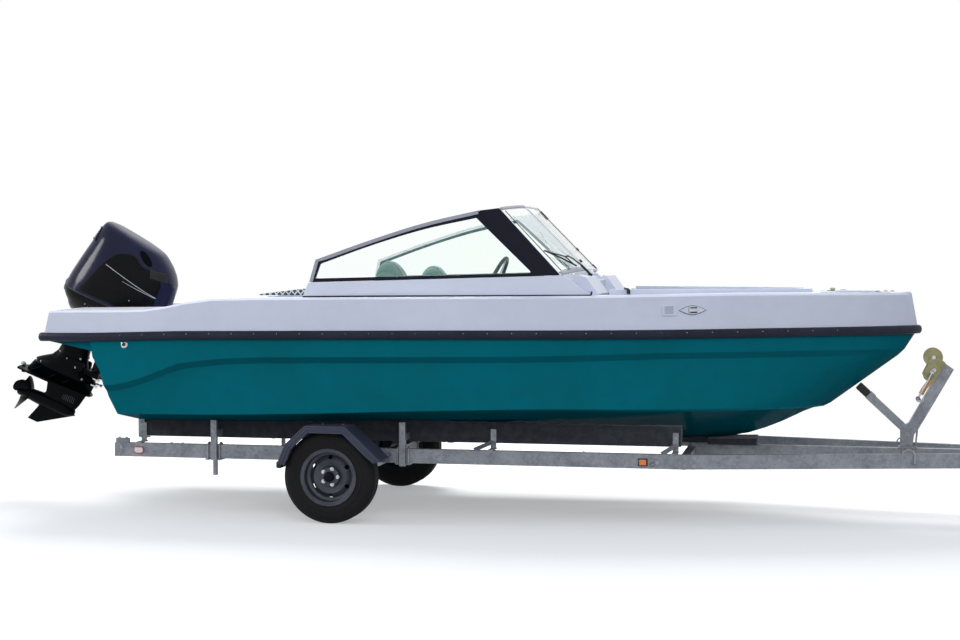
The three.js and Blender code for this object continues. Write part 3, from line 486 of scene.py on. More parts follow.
def material(name, slot, **fixed):
    """A bare shader whose steady values are set on its own sockets."""
    made = bpy.data.materials.new(name)
    made.use_nodes = True
    g = Graph(made.node_tree)
    shader = made.node_tree.nodes["Principled BSDF"]
    for key, value in fixed.items():
        shader.inputs[key.replace("_", " ")].default_value = value
    FINISHES[name] = (made, slot)
    return g, shader, g.node("TexCoord").outputs["Object"]


def use(g, tree, **inputs):
    return g.node("Group", {"node_tree": tree}, **inputs).outputs


def bump(g, shader, height, strength, distance):
    made = g.node("Bump", Height=height, Strength=strength, Distance=distance)
    g.tree.links.new(made.outputs[0], shader.inputs["Normal"])


def feed(g, shader, **sockets):
    for key, value in sockets.items():
        g.tree.links.new(value, shader.inputs[key.replace("_", " ")])


def toned(name, slot, colour, other, scale, amount, roughness, spread, grain=None, depth=0.0002,
          strength=0.3, **fixed):
    """Most painted, moulded and rubber pieces: a drifting tone with a fine grain."""
    g, shader, place = material(name, slot, **fixed)
    tone = use(g, TONE, Place=place, Colour=linear(*colour), Other=linear(*other), Scale=scale, Amount=amount,
               Roughness=roughness, Spread=spread)
    feed(g, shader, Base_Color=tone["Colour"], Roughness=tone["Roughness"])
    if grain:
        bump(g, shader, use(g, GRAIN, Place=place, Scale=grain, Cells=0.6)["Height"], strength, depth)
    return g, shader, place


def quilt_threads(g, shader, place):
    """Pale thread crossing a quilted face in diamonds."""
    pitch, share = 0.045, 0.14
    split = g.node("SeparateXYZ", Vector=place)
    rise = g.maths("ADD", split.outputs[2], split.outputs[1])
    seams = []
    for way in ("ADD", "SUBTRACT"):
        phase = g.maths("FRACT", g.maths("DIVIDE", g.maths(way, split.outputs[0], rise), pitch))
        seams.append(g.maths("LESS_THAN", g.maths("ABSOLUTE", g.maths("SUBTRACT", phase, 0.5)), share))
    cloth = shader.inputs["Base Color"].links[0].from_socket
    feed(g, shader, Base_Color=g.blend(g.maths("MAXIMUM", *seams), cloth, linear(206, 208, 212)))


def make_finishes():
    toned("teal_gelcoat", "teal_gelcoat", (5, 116, 131), (8, 107, 119), 0.9, 0.8, 0.3, 0.06, 26, 0.0004, 0.05,
          Specular_IOR_Level=0.0, Coat_Weight=0.04, Coat_Roughness=0.16)
    toned("white_gelcoat", "white_gelcoat", (214, 218, 233), (206, 210, 225), 1.3, 0.7, 0.3, 0.08,
          30, 0.0003, 0.05, Specular_IOR_Level=0.12)
    toned("cap_grey", "white_gelcoat", (164, 166, 178), (150, 152, 163), 2.0, 0.6, 0.3, 0.1,
          600, 0.0001, 0.15, Specular_IOR_Level=0.3)
    toned("liner_white", "liner_white", (232, 234, 238), (220, 222, 227), 2.5, 0.7, 0.38, 0.12,
          90, 0.0004, 0.15)
    toned("rail_rubber", "rail_black", (22, 25, 42), (38, 42, 60), 3.0, 0.6, 0.36, 0.16, 500, 0.0002, 0.25,
          Specular_IOR_Level=0.2)
    toned("frame_black", "frame_black", (13, 15, 30), (19, 21, 36), 4.0, 0.6, 0.32, 0.1, 900, 0.00008, 0.2,
          Specular_IOR_Level=0.15)
    toned("frame_satin", "frame_black", (120, 122, 130), (140, 142, 148), 6.0, 0.6, 0.3, 0.1, 900,
          0.00005, 0.15, Metallic=0.75)
    toned("clear_edge", "screen_glass", (222, 226, 228), (210, 215, 218), 6.0, 0.6, 0.2, 0.1,
          900, 0.00005, 0.1)
    toned("seal_black", "frame_black", (10, 10, 12), (22, 22, 25), 8.0, 0.5, 0.55, 0.15, 900, 0.0001, 0.2)
    toned("trim_green", "frame_black", (88, 122, 115), (76, 108, 102), 5.0, 0.6, 0.5, 0.1, 500, 0.0001, 0.2)
    toned("seat_vinyl", "upholstery", (94, 128, 121), (76, 108, 102), 3.0, 0.6, 0.42, 0.12, 420, 0.0005, 0.35,
          Sheen_Weight=0.08, Sheen_Roughness=0.5)
    quilt = toned("quilt_vinyl", "bolster_quilt", (50, 53, 58), (66, 69, 74), 6.0, 0.6, 0.45, 0.12,
                  420, 0.0005, 0.35, Sheen_Weight=0.08, Sheen_Roughness=0.5)
    quilt_threads(*quilt)
    toned("matte_rubber", "wheel_rubber", (16, 16, 18), (36, 36, 38), 9.0, 0.6, 0.6, 0.16, 350, 0.0003, 0.35)
    toned("bracket_black", "bracket_black", (8, 9, 12), (14, 15, 20), 5.0, 0.6, 0.4, 0.14, 500, 0.0002, 0.2,
          Specular_IOR_Level=0.1)
    toned("engine_paint", "engine_paint", (4, 5, 7), (9, 10, 13), 4.0, 0.6, 0.3, 0.12, 240, 0.0002, 0.12,
          Specular_IOR_Level=0.05)
    toned("engine_gloss", "engine_gloss", (17, 20, 48), (25, 29, 63), 3.0, 0.6, 0.13, 0.05, 60, 0.0002, 0.04,
          Specular_IOR_Level=0.2)
    toned("pan_gloss", "engine_gloss", (9, 9, 12), (15, 15, 19), 3.0, 0.6, 0.24, 0.1, 200, 0.0002, 0.1,
          Specular_IOR_Level=0.1)
    toned("tyre_rubber", "tyre", (20, 20, 22), (36, 35, 35), 7.0, 0.7, 0.72, 0.14, 300, 0.0004, 0.4,
          Specular_IOR_Level=0.2)
    toned("rim_paint", "rim_black", (74, 77, 86), (54, 56, 64), 8.0, 0.7, 0.4, 0.16, 300, 0.0002, 0.2,
          Metallic=0.55)
    toned("fender_plastic", "fender_plastic", (46, 50, 68), (60, 64, 84), 5.0, 0.7, 0.5, 0.14,
          380, 0.0004, 0.4)
    toned("bright_steel", "bright_steel", (196, 199, 204), (168, 171, 177), 20.0, 0.6, 0.2, 0.12, 900,
          0.00005, 0.12, Metallic=1.0)
    toned("cast_zinc", "galvanised", (168, 170, 172), (132, 134, 137), 18.0, 0.7, 0.5, 0.15, 260, 0.0003, 0.4,
          Metallic=0.6)
    toned("silver_line", "galvanised", (205, 207, 212), (188, 190, 196), 20.0, 0.5, 0.3, 0.1, Metallic=0.3)
    toned("dial_face", "frame_black", (14, 15, 18), (20, 21, 24), 20.0, 0.5, 0.25, 0.1, Coat_Weight=0.6)
    toned("wheel_grip", "wheel_rubber", (40, 66, 62), (30, 52, 49), 9.0, 0.6, 0.45, 0.12, 600, 0.0003, 0.4)
    toned("plain_white", "liner_white", (246, 248, 248), (236, 239, 239), 20.0, 0.5, 0.4, 0.1)
    toned("strap_orange", "lamp_orange", (242, 176, 98), (220, 150, 72), 22.0, 0.7, 0.62, 0.15,
          520, 0.0004, 0.5)
    toned("sole_tread", "liner_white", (172, 175, 180), (156, 159, 165), 3.0, 0.6, 0.55, 0.15,
          150, 0.0012, 0.55)

    for name, slot, light, dark, scale, crystals in (
            ("galvanised", "galvanised", (154, 158, 165), (120, 124, 132), 55.0, 0.42),
            ("yellow_zinc", "yellow_zinc", (168, 164, 126), (128, 124, 86), 40.0, 0.3)):
        g, shader, place = material(name, slot, Metallic=0.45)
        zinc = use(g, SPANGLE, Place=place, Light=linear(*light), Dark=linear(*dark), Scale=scale,
                   Crystals=crystals)
        feed(g, shader, Base_Color=zinc["Colour"], Roughness=zinc["Roughness"])
        bump(g, shader, zinc["Height"], 0.12, 0.001)

    g, shader, place = material("carpet", "carpet", Roughness=0.95, Sheen_Weight=0.25, Sheen_Roughness=0.6)
    wool = use(g, FIBRE, Place=place, Light=linear(66, 69, 78), Dark=linear(14, 16, 20), Scale=260.0)
    feed(g, shader, Base_Color=wool["Colour"])
    bump(g, shader, wool["Height"], 0.8, 0.004)

    g, shader, place = material("screen_glass", "screen_glass", Transmission_Weight=1.0,
                                IOR=1.12, Metallic=0.0)
    tone = use(g, TONE, Place=place, Colour=linear(251, 255, 253), Other=linear(248, 254, 252),
               Scale=2.0, Amount=0.5, Roughness=0.0, Spread=0.01)
    feed(g, shader, Base_Color=tone["Colour"], Roughness=tone["Roughness"])
    for name, slot, colour, other in (("lens_orange", "lamp_orange", (246, 128, 20), (226, 100, 8)),
                                      ("lens_white", "liner_white", (250, 244, 240), (240, 214, 206)),
                                      ("lens_green", "lamp_orange", (158, 176, 118), (138, 158, 100)),
                                      ("lens_red", "lamp_orange", (190, 24, 18), (150, 14, 12))):
        g, shader, place = toned(name, slot, colour, other, 60.0, 0.6, 0.12, 0.08, Coat_Weight=0.8,
                                 Coat_Roughness=0.05)
        ribs = g.node("TexWave", {"bands_direction": "X"}, Vector=place, Scale=60.0)
        bump(g, shader, ribs.outputs["Fac"], 0.3, 0.001)


make_finishes()


# ---- camera, light and floor ---------------------------------------------------------------------
def white_rays(g):
    """The rays that see a white room: from the camera, and on through glass and off gloss."""
    ray = g.node("LightPath").outputs
    return g.maths("MAXIMUM", ray["Is Camera Ray"],
                   g.maths("MAXIMUM", ray["Is Glossy Ray"], ray["Is Transmission Ray"]))


def studio():
    world = bpy.data.worlds.new("studio")
    world.use_nodes = True
    bpy.context.scene.world = world
    g = Graph(world.node_tree)
    g.tree.nodes.clear()
    seen = white_rays(g)
    height = g.node("SeparateXYZ", Vector=g.node("TexCoord").outputs["Generated"]).outputs[2]
    sky = g.span(height, -0.2, 0.9)
    dim = g.blend(sky, (0.62, 0.64, 0.68, 1), (0.86, 0.92, 1.0, 1))
    plain = g.node("Background", Color=dim, Strength=0.72)
    white = g.node("Background", Color=(1, 1, 1, 1), Strength=1.0)
    g.node("OutputWorld", i0=g.node("MixShader", i0=seen, i1=plain, i2=white))

    for name, place, aim, power, size, colour in (
            ("key", (-3.0, 5.5, 8.5), (0, 0, 0.8), 1150, 6.0, (1.0, 0.98, 0.95)),
            ("fill", (2.0, -11.0, 6.0), (0, 0, 1.0), 410, 7.0, (0.93, 0.96, 1.0)),
            ("edge", (-9.0, -3.0, 4.0), (-2.5, 0, 1.4), 150, 2.2, (1.0, 1.0, 1.0))):
        lamp = bpy.data.lights.new(name, "AREA")
        lamp.shape, lamp.size, lamp.energy, lamp.color = "DISK", size, power, colour
        thing = bpy.data.objects.new(name, lamp)
        thing.location = place
        thing.rotation_mode = "QUATERNION"
        thing.rotation_quaternion = (Vector(aim) - Vector(place)).to_track_quat("-Z", "Y")
        thing.visible_glossy = name == "edge"
        bpy.context.scene.collection.objects.link(thing)

    floor_finish = bpy.data.materials.new("floor_white")
    floor_finish.use_nodes = True
    g = Graph(floor_finish.node_tree)
    g.tree.nodes.clear()
    spot = g.node("TexCoord").outputs["Object"]
    far = g.span(g.node("VectorMath", {"operation": "LENGTH"}, i0=spot).outputs["Value"], 4.2, 9.0)
    lit = g.node("BsdfDiffuse", Color=(0.93, 0.93, 0.94, 1))
    glow = g.node("Emission", Color=(1, 1, 1, 1), Strength=1.0)
    seen = white_rays(g)
    # light that bounces off the floor is that of a grey yard
    ground = g.node("MixShader", i0=seen, i1=g.node("BsdfDiffuse", Color=(0.2, 0.2, 0.21, 1)), i2=lit)
    share = g.times(seen, g.maths("MAXIMUM", far, 0.35))
    g.node("OutputMaterial", i0=g.node("MixShader", i0=share, i1=ground, i2=glow))
    radius, below = 60, -0.002
    disc = bpy.data.meshes.new("floor")
    rim = [(x, y, below) for x, y in circle(radius, 64)]
    disc.from_pydata(rim, [], [tuple(range(64))])
    floor = bpy.data.objects.new("floor", disc)
    disc.materials.append(floor_finish)
    bpy.context.scene.collection.objects.link(floor)

    camera = bpy.data.objects.new("camera", bpy.data.cameras.new("camera"))
    camera.data.lens, camera.data.sensor_width = 63.75, 36
    camera.location = (1.9072, -12.399, 1.826)
    camera.rotation_euler = (math.radians(88.01), 0, math.radians(11.37))
    bpy.context.scene.collection.objects.link(camera)
    bpy.context.scene.camera = camera
    bpy.context.scene.view_settings.view_transform = "Standard"


studio()


# ---- places on the moulded faces ------------------------------------------------------------------
def deck_top(x, y):
    edge = deck_breadth(x) - 0.022
    return deck_height(x) + 0.008 * min(max((edge - abs(y)) / (edge * 0.5), 0), 1)


def face_frame(place, along, up):
    """X runs along the face, Y up it and Z out of it."""
    along = Vector(along).normalized()
    out = along.cross(Vector(up)).normalized()
    return Matrix.Translation(place) @ Matrix((along, out.cross(along), out)).transposed().to_4x4()


def on_deck_side(x, share):
    """On the starboard side of the deck, share of the way from the rail to the top edge."""
    def place(x, share):
        top = 0.088 + (STEM - 0.132) * (x - 0.066) / (STEM - 0.066)
        low = at(x, -sheer_breadth(x), rail_height(x) + 0.005)
        return low.lerp(at(top, -deck_breadth(top), deck_height(top) - 0.014), share)
    forward = place(x + 0.01, share) - place(x - 0.01, share)
    return face_frame(place(x, share), forward, place(x, 1) - place(x, 0))


def on_side_glass(x, z, lift=0.0):
    """The side screens lean in as they rise."""
    breadth, foot, lean = SIDE_SCREEN
    return at(x, -(breadth - (z - foot) * lean + lift), z)


def on_screen(foot_y, head_y, share, lift=0.0):
    """The front screen, from its curved foot up to its curved head."""
    ends = [Vector((x - aft * (y / half) ** 2, y, z - down * (y / half) ** 2))
            for y, (x, z, half, aft, down) in ((foot_y, SCREEN_FOOT), (head_y, SCREEN_HEAD))]
    x, y, z = ends[0].lerp(ends[1], share)
    return at(x + lift * 0.7, y, z + lift * 0.7)


def softened(corners, radius, steps=5):
    """A closed outline with its corners rounded; nearly straight ones are left alone."""
    out, n = [], len(corners)
    for i, corner in enumerate(corners):
        here = Vector(corner)
        a, b = Vector(corners[i - 1]) - here, Vector(corners[(i + 1) % n]) - here
        turn = a.angle(b)
        if turn > 2.8:
            out.append(here)
            continue
        cut = min(radius / math.tan(turn / 2), a.length * 0.48, b.length * 0.48)
        start, end = here + a.normalized() * cut, here + b.normalized() * cut
        for k in range(steps + 1):
            t = k / steps
            out.append(start.lerp(here, t).lerp(here.lerp(end, t), t))
    return out


def ring_between(outer, inner, near, far):
    """The solid between two outlines with the same number of points."""
    rings = [[to(p) for p in row] for row, to in ((outer, near), (inner, near), (inner, far), (outer, far))]
    return skin(rings, closed=True)


def plate(corners, low, high, radius):
    """A flat piece lying in X and Y, with rounded corners."""
    return prism("z", softened(corners, radius, 4), low, high)


def oblong(length, width, low, high, radius):
    return plate(flat(length / 2, width / 2), low, high, radius)


def sides(name):
    return (f"{name}_port", f"{name}_starboard")


# ---- the solids with their own finish -----------------------------------------------------------------
def finish_solids():
    for nodes, finish, rounded, sharp in (
            (("hull",), "teal_gelcoat", 0.005, 13), (("deck",), "white_gelcoat", 0.012, 24),
            (("cockpit_liner", "bench_base"), "liner_white", 0.015, 38),
            ((*sides("screen_moulding"), "walkthrough_door"), "white_gelcoat", 0.01, 30),
            (("rub_rail",), "rail_rubber", 0.004, 30),
            ((*sides("side_member"), "centre_beam", "rear_crossbar", "axle_beam", "bow_post", "coupling_head",
              "jockey_clamp", "jockey_tube", "jockey_fork", *sides("seat_pedestal")),
             "galvanised", 0.003, 38),
            (("bow_stop", "jockey_wheel"), "matte_rubber", 0.006, 38),
            (("clamp_bracket", "swivel_bracket"), "bracket_black", 0.004, 38),
            (("engine_leg", "gearcase"), "engine_paint", 0.004, 38),
            (sides("wheel_rim"), "rim_paint", 0.0, 38),
            (sides("fender"), "fender_plastic", 0.008, 30),
            ((*sides("bunk"), "keel_pad"), "carpet", 0.008, 38),
            (("winch_drum",), "yellow_zinc", 0.001, 38), (("winch_crank",), "bright_steel", 0.001, 38),
            (sides("side_lamp"), "lens_orange", 0.004, 38)):
        for node in nodes:
            rounded_node(node, finish, rounded, sharp)
    for node in (*sides("side_glass"), *sides("front_glass"), "walkthrough_screen_glass"):
        solid = frame["nodes"][node]
        solid.material_slots[0].material = FINISHES["screen_glass"][0]


finish_solids()


# ---- rail, hull and deck fittings ----------------------------------------------------------------------
def rail_screws():
    """Small screw heads along the upper part of the rub rail."""
    heads = Form()
    for k in range(34):
        x = 0.16 + 0.165 * k
        step = sheer_breadth(x + 0.01) - sheer_breadth(x - 0.01)
        out = Vector((-step, -0.02, 0)).normalized()
        place = at(x, -sheer_breadth(x), rail_height(x) + 0.009) + out * 0.0245
        heads = heads + dome(place, out + Vector((0, 0, 0.25)), 0.0036, 0.0016, 10)
    piece("rail_screws", heads, "cast_zinc", mirror=True)


def coaming_gasket():
    """The black seal under the screen moulding, turned up at its forward end."""
    y = 0.965
    path = [at(x, -y, deck_top(x, y) + 0.003) for x in (1.944, 2.4, 2.9, 3.4, 3.9, 3.97)]
    path += [at(3.979, -y, deck_top(3.98, y) + 0.009), at(3.982, -y, deck_top(3.98, y) + 0.03)]
    piece("coaming_gasket", swept(path, 0.0062), "seal_black", mirror=True)


def side_fittings():
    """A louvred vent and a pull-up cleat let into the deck's side, and a fitting through the hull."""
    vent = on_deck_side(4.516, 0.63)
    surround = ring_between(softened(flat(0.05, 0.038), 0.011), softened(flat(0.03, 0.024), 0.004),
                            lambda p: (p.x, p.y, 0.0005), lambda p: (p.x, p.y, 0.006))
    slats = gather([block(-0.031, 0.031, y - 0.0022, y + 0.0022, 0.0008, 0.0052)
                    for y in [0.0065 * k - 0.0195 for k in range(7)]])
    piece("deck_vent", (surround + slats).moved(vent), "white_gelcoat", rounded=0.0008, mirror=True)
    piece("deck_vent_back", block(-0.031, 0.031, -0.025, 0.025, 0.0003, 0.0012).moved(vent),
          "cap_grey", mirror=True)
    cleat = on_deck_side(4.672, 0.62)

    def pointed(length, height):
        over = [(length * t, height * (1 - abs(t) ** 1.7)) for t in [k / 8 - 1 for k in range(17)]]
        return over + [(x, -y) for x, y in reversed(over[1:-1])]

    base = prism("z", pointed(0.09, 0.029), 0.0012, 0.0045)
    bar = block(-0.026, -0.018, -0.019, 0.019, 0.0045, 0.0095)
    bar = bar + block(-0.02, 0.028, -0.011, 0.011, 0.0062, 0.0095)
    heads = gather([dome((x, 0, 0.004), UP, 0.006, 0.0025, 12) for x in (-0.06, 0.06)])
    piece("pull_up_cleat", base.moved(cleat), "white_gelcoat", rounded=0.0012, mirror=True)
    piece("pull_up_cleat_gasket", prism("z", pointed(0.0955, 0.0325), 0.0003, 0.0014).moved(cleat),
          "seal_black", mirror=True)
    piece("pull_up_cleat_well", block(-0.029, 0.029, -0.02, 0.02, 0.0044, 0.0052).moved(cleat),
          "seal_black", mirror=True)
    piece("pull_up_cleat_bar", (bar + heads).moved(cleat), "bright_steel", rounded=0.0008, mirror=True)
    spout = Matrix.Translation(at(0.675, -1.1195, 1.236)) @ facing((0, -1, 0.1))
    piece("hull_outlet", turned([(0.025, 0), (0.026, 0.003), (0.022, 0.007), (0.014, 0.009), (0.012, 0.002)],
                                steps=24).moved(spout), "bright_steel")
    piece("hull_outlet_bore", turned([(0.0125, 0.0), (0.0125, 0.0085)], steps=16).moved(spout), "seal_black")


def deck_patch(x0, x1, inner, outer, high=0.0018):
    """A thin raised panel that follows the deck between two breadths."""
    rows = spaced(x0, x1, 14)
    return skin([[at(x, y, deck_top(x, y) + h)
                  for y, h in ((inner(x), 0.0002), (outer(x), 0.0002), (outer(x), high),
                               (inner(x), high))] for x in rows])


def deck_panels():
    tread = deck_patch(0.12, 0.94, lambda x: 0.535, lambda x: 1.03)
    piece("deck_tread", tread, "sole_tread", rounded=0.001, mirror=True)
    fore = deck_patch(5.5, 5.98, lambda x: 0.004, lambda x: deck_breadth(x) * 0.82)
    piece("foredeck_tread", fore, "sole_tread", mirror=True)
    lid = deck_patch(5.6, 5.9, lambda x: -deck_breadth(x) * 0.5, lambda x: deck_breadth(x) * 0.5, 0.009)
    piece("locker_lid", lid, "white_gelcoat", rounded=0.003)
    catch = turned([(0.022, 0), (0.022, 0.003), (0.01, 0.005)],
                   at(5.66, 0, deck_top(5.66, 0) + 0.009), UP, 20)
    hinges = gather([oblong(0.03, 0.05, 0, 0.003, 0.004).moved(at(5.9, y, deck_top(5.9, y) + 0.004))
                     for y in (-0.1, 0.1)])
    piece("locker_catch", catch + hinges, "bright_steel", rounded=0.0008)
    strap = smooth_path([at(4.192, -0.79, 1.63), at(4.198, -0.815, 1.64), at(4.21, -0.838, 1.636),
                         at(4.22, -0.856, 1.624), at(4.222, -0.87, 1.602)], 4)
    piece("lip_strap", swept(strap, flat(0.012, 0.002)), "seal_black")
    ball = turned([(0.011, 0), (0.02, 0.004), (0.019, 0.013), (0.01, 0.019)], steps=20)
    x = 5.585
    base = block(-0.04, 0.04, -0.028, 0.028, 0, 0.006).moved(at(x, 0, deck_top(x, 0) + 0.001))
    piece("bow_lamp", base, "bright_steel", rounded=0.002)
    for side, finish, s in (("starboard", "lens_green", -1), ("port", "lens_red", 1)):
        piece(f"bow_lamp_{side}", ball.moved(at(x, s * 0.022, deck_top(x, 0) + 0.0065)), finish,
              rounded=0.001)
    eyes = gather([turned([(0.014, 0), (0.014, 0.005), (0.009, 0.011)], at(x, 0, deck_top(x, 0)), UP, 18)
                   for x in (5.955, 6.0)])
    piece("bow_eyes", eyes, "bright_steel", rounded=0.0008)


rail_screws()
coaming_gasket()
side_fittings()
deck_panels()


# ---- screens ---------------------------------------------------------------------------------------
def side_screens():
    top = smooth_path([(2.012, 1.834), (2.416, 1.975), (2.783, 2.088), (3.167, 2.175)], 6)
    under = smooth_path([(2.045, 1.806), (2.424, 1.94), (2.79, 2.048), (3.156, 2.125)], 6)
    outer = softened([(1.973, 1.675), *[tuple(p) for p in top], (3.66, 1.7235)], 0.012)
    inner = softened([(2.013, 1.703), *[tuple(p) for p in under], (3.56, 1.743)], 0.012)
    lining = ring_between(outer, inner, lambda p: on_side_glass(p.x, p.y),
                          lambda p: on_side_glass(p.x, p.y, -0.028))
    middle = softened([(2.0, 1.692), *[tuple((a + b) / 2) for a, b in zip(top, under)], (3.6, 1.735)], 0.015)
    low_trim, high_trim = [ring_between(a, b, lambda p: on_side_glass(p.x, p.y, -0.0282),
                                        lambda p: on_side_glass(p.x, p.y, -0.0305))
                           for a, b in ((middle, inner), (outer, middle))]
    edge = [Vector((1.9735, 1.679)), *[Vector((p.x, p.y)) for p in top]]
    rings = []
    for k, p in enumerate(edge):
        along = (edge[min(k + 1, len(edge) - 1)] - edge[max(k - 1, 0)]).normalized()
        inset = Vector((along.y, -along.x))
        rings.append([on_side_glass(q.x, q.y, lift) for q, lift in (
            (p - inset * 0.001, 0.0025), (p + inset * 0.024, 0.0025), (p + inset * 0.024, -0.002),
            (p + inset * 0.0005, -0.002), (p + inset * 0.0005, -0.029), (p - inset * 0.001, -0.029))])
    cap = skin(rings)
    for side, flip in (("starboard", lambda f: f), ("port", lambda f: f.mirrored())):
        node = f"side_window_frame_{side}"
        piece(f"side_screen_frame_{side}", flip(lining), "frame_black", rounded=0.003, sharp=50,
              stands_for=node)
        piece(f"side_screen_cap_{side}", flip(cap), "cap_grey", rounded=0.001, sharp=50)
        piece(f"side_screen_trim_{side}", flip(low_trim), "trim_green", rounded=0.0008, sharp=50)
        piece(f"side_screen_lining_{side}", flip(high_trim), "plain_white", rounded=0.0008, sharp=50)


def screen_bar(foot, head, low, high, thick=0.013, steps=10):
    """A strip of the front screen's frame between two breadths and two heights."""
    rings, lift = [], -0.002
    for k in range(steps + 1):
        a, b = foot[0] + (foot[1] - foot[0]) * k / steps, head[0] + (head[1] - head[0]) * k / steps
        rings.append([on_screen(a, b, share, up)
                      for share, up in ((low, lift), (high, lift), (high, lift + thick),
                                        (low, lift + thick))])
    return skin(rings)


def front_screens():
    wide, way, slim = (WALK + 0.004, 0.862), WALK - 0.005, 0.012
    pillar = [(3.1685, 2.175), (3.315, 2.192), (3.757, 1.728), (3.636, 1.7255)]
    lined = [(3.1675, 2.176), (3.316, 2.193), (3.7585, 1.7275), (3.6345, 1.7245)]
    rows = softened([Vector(p) for p in pillar], 0.008, 3)
    pillar_form = skin([[on_side_glass(p.x, p.y, lift) for p in rows] for lift in (0.001, -0.034)])
    lining = skin([[on_side_glass(x, z, lift) for x, z in lined] for lift in (-0.006, -0.0365)])
    # header, foot and post are worked out for port, the pillar and its lining for starboard
    head_form = screen_bar(wide, (wide[0], 0.806), 0.966, 1.0)
    foot_form = screen_bar(wide, (wide[0], 0.806), 0.0, 0.04)
    post_form = screen_bar((wide[0], wide[0] + slim), (wide[0], wide[0] + slim), 0.0, 1.0,
                           thick=0.009, steps=2)
    for side, flip, other in (("port", lambda f: f, lambda f: f.mirrored()),
                              ("starboard", lambda f: f.mirrored(), lambda f: f)):
        node = f"front_screen_frame_{side}"
        piece(f"screen_pillar_{side}", other(pillar_form), "frame_black", rounded=0.004, stands_for=node)
        piece(f"pillar_lining_{side}", other(lining), "plain_white")
        piece(f"screen_header_{side}", flip(head_form), "cap_grey", rounded=0.003, sharp=50)
        piece(f"screen_foot_{side}", flip(foot_form), "cap_grey", rounded=0.003, sharp=50)
        piece(f"screen_post_{side}", flip(post_form), "clear_edge", rounded=0.002, sharp=50)
    both = (-way, way)
    pane = (screen_bar(both, both, 0.004, 0.05, thick=0.01) + screen_bar(both, both, 0.968, 0.996, thick=0.01)
            + screen_bar((way - slim, way), (way - slim, way), 0.005, 0.995, thick=0.009, steps=2)
            + screen_bar((-way, slim - way), (-way, slim - way), 0.005, 0.995, thick=0.009, steps=2))
    piece("walkthrough_screen_edge", pane, "clear_edge", body="walkthrough_screen", rounded=0.002, sharp=50,
          stands_for="walkthrough_screen_frame")
    piece("walkthrough_hinge", rod(on_screen(WALK, WALK, 0.01, 0.01),
                                   on_screen(WALK, WALK, 0.98, 0.01), 0.0035),
          "frame_satin")
    leaves = gather([swept([on_screen(WALK, WALK, share, 0.0125), on_screen(WALK, WALK, share + run, 0.0125)],
                           0.005)
                     for share, run in ((0.01, 0.06), (0.3, 0.04), (0.81, 0.12))])
    piece("walkthrough_hinge_leaves", leaves, "seal_black")
    corner = Matrix.Translation(on_screen(-way + 0.03, -way + 0.03, 0.12, 0.012)) @ facing((0.7, 0, 0.7))
    catch = block(-0.02, 0.02, -0.012, 0.012, 0, 0.012).moved(corner)
    piece("walkthrough_catch", catch, "seal_black", body="walkthrough_screen", rounded=0.003)


def wiper():
    """The helm's wiper, parked along the foot of the starboard screen."""
    pivot, lift = at(3.9, -0.42, 1.732), 0.022
    a, b = on_screen(-0.84, -0.78, 0.33, lift), on_screen(-0.5, -0.465, 0.06, lift)
    hold = a.lerp(b, 0.56) + Vector((0.012, 0, 0.016))
    blade = swept([a, a.lerp(b, 0.5) + Vector((0.003, 0, 0.003)), b],
                  [(-0.003, -0.008), (0.003, -0.008), (0.002, 0.003),
                   (-0.002, 0.003)], up=(0.7, 0, 0.7))
    yoke = swept(smooth_path([a.lerp(b, 0.15), hold, a.lerp(b, 0.88)], 5), 0.0045)
    knee = on_screen(-0.5, -0.47, 0.17, 0.032)
    arm = swept([pivot, pivot.lerp(knee, 0.5) + Vector((0.004, 0, 0.005))], 0.0085) + swept(
        smooth_path([pivot.lerp(knee, 0.45) + Vector((0.004, 0, 0.005)), knee, hold], 5), 0.0045)
    link = swept([knee, knee.lerp(hold, 0.6) + Vector((0.006, 0, 0.01)), hold], 0.003)
    boss = turned([(0.017, 0), (0.017, 0.016), (0.011, 0.026), (0.004, 0.03)],
                  pivot - Vector((0.008, 0, 0.02)), (0.55, 0, 0.83), 16)
    piece("wiper", blade + yoke + arm + link + boss, "seal_black", rounded=0.0008)


side_screens()
front_screens()
wiper()


# ---- cockpit ------------------------------------------------------------------------------------------
HELM = Matrix.Translation(at(3.226, -0.45, 1.696)) @ Matrix.Rotation(math.radians(116), 4, "Y")


def steering_wheel():
    rim = ring_round([(0.165 + 0.015 * math.cos(a), 0.0135 * math.sin(a)) for a in
                      [math.pi * k / 7 for k in range(14)]], (0, 0, 0), UP, 60)
    piece("helm_wheel_rim", rim.moved(HELM), "wheel_grip", "helm", sharp=60, stands_for="steering_wheel")
    arms = Form()
    for turn in (180, 300, 60):
        spoke = skin([[(r, -w, h - 0.003), (r, w, h - 0.003), (r, w, h + 0.003), (r, -w, h + 0.003)]
                      for r, w, h in ((0.02, 0.026, 0.012), (0.07, 0.021, 0.009), (0.12, 0.016, 0.004),
                                      (0.16, 0.02, 0))])
        arms = arms + spoke.moved(Matrix.Rotation(math.radians(turn), 4, "Z"))
    piece("helm_wheel_spokes", arms.moved(HELM), "bright_steel", "helm", rounded=0.0015)
    hub = turned([(0.012, -0.01), (0.034, -0.008), (0.039, 0.0), (0.037, 0.014), (0.03, 0.058),
                  (0.0, 0.0585)], steps=28)
    piece("helm_wheel_hub", hub.moved(HELM), "wheel_grip", "helm", rounded=0.002)


def on_dash(y, share):
    """The upper slope of the dash, facing aft."""
    low, high = at(3.4, y, 1.64), at(3.44, y, 1.712)
    return face_frame(low.lerp(high, share), STARBOARD, high - low)


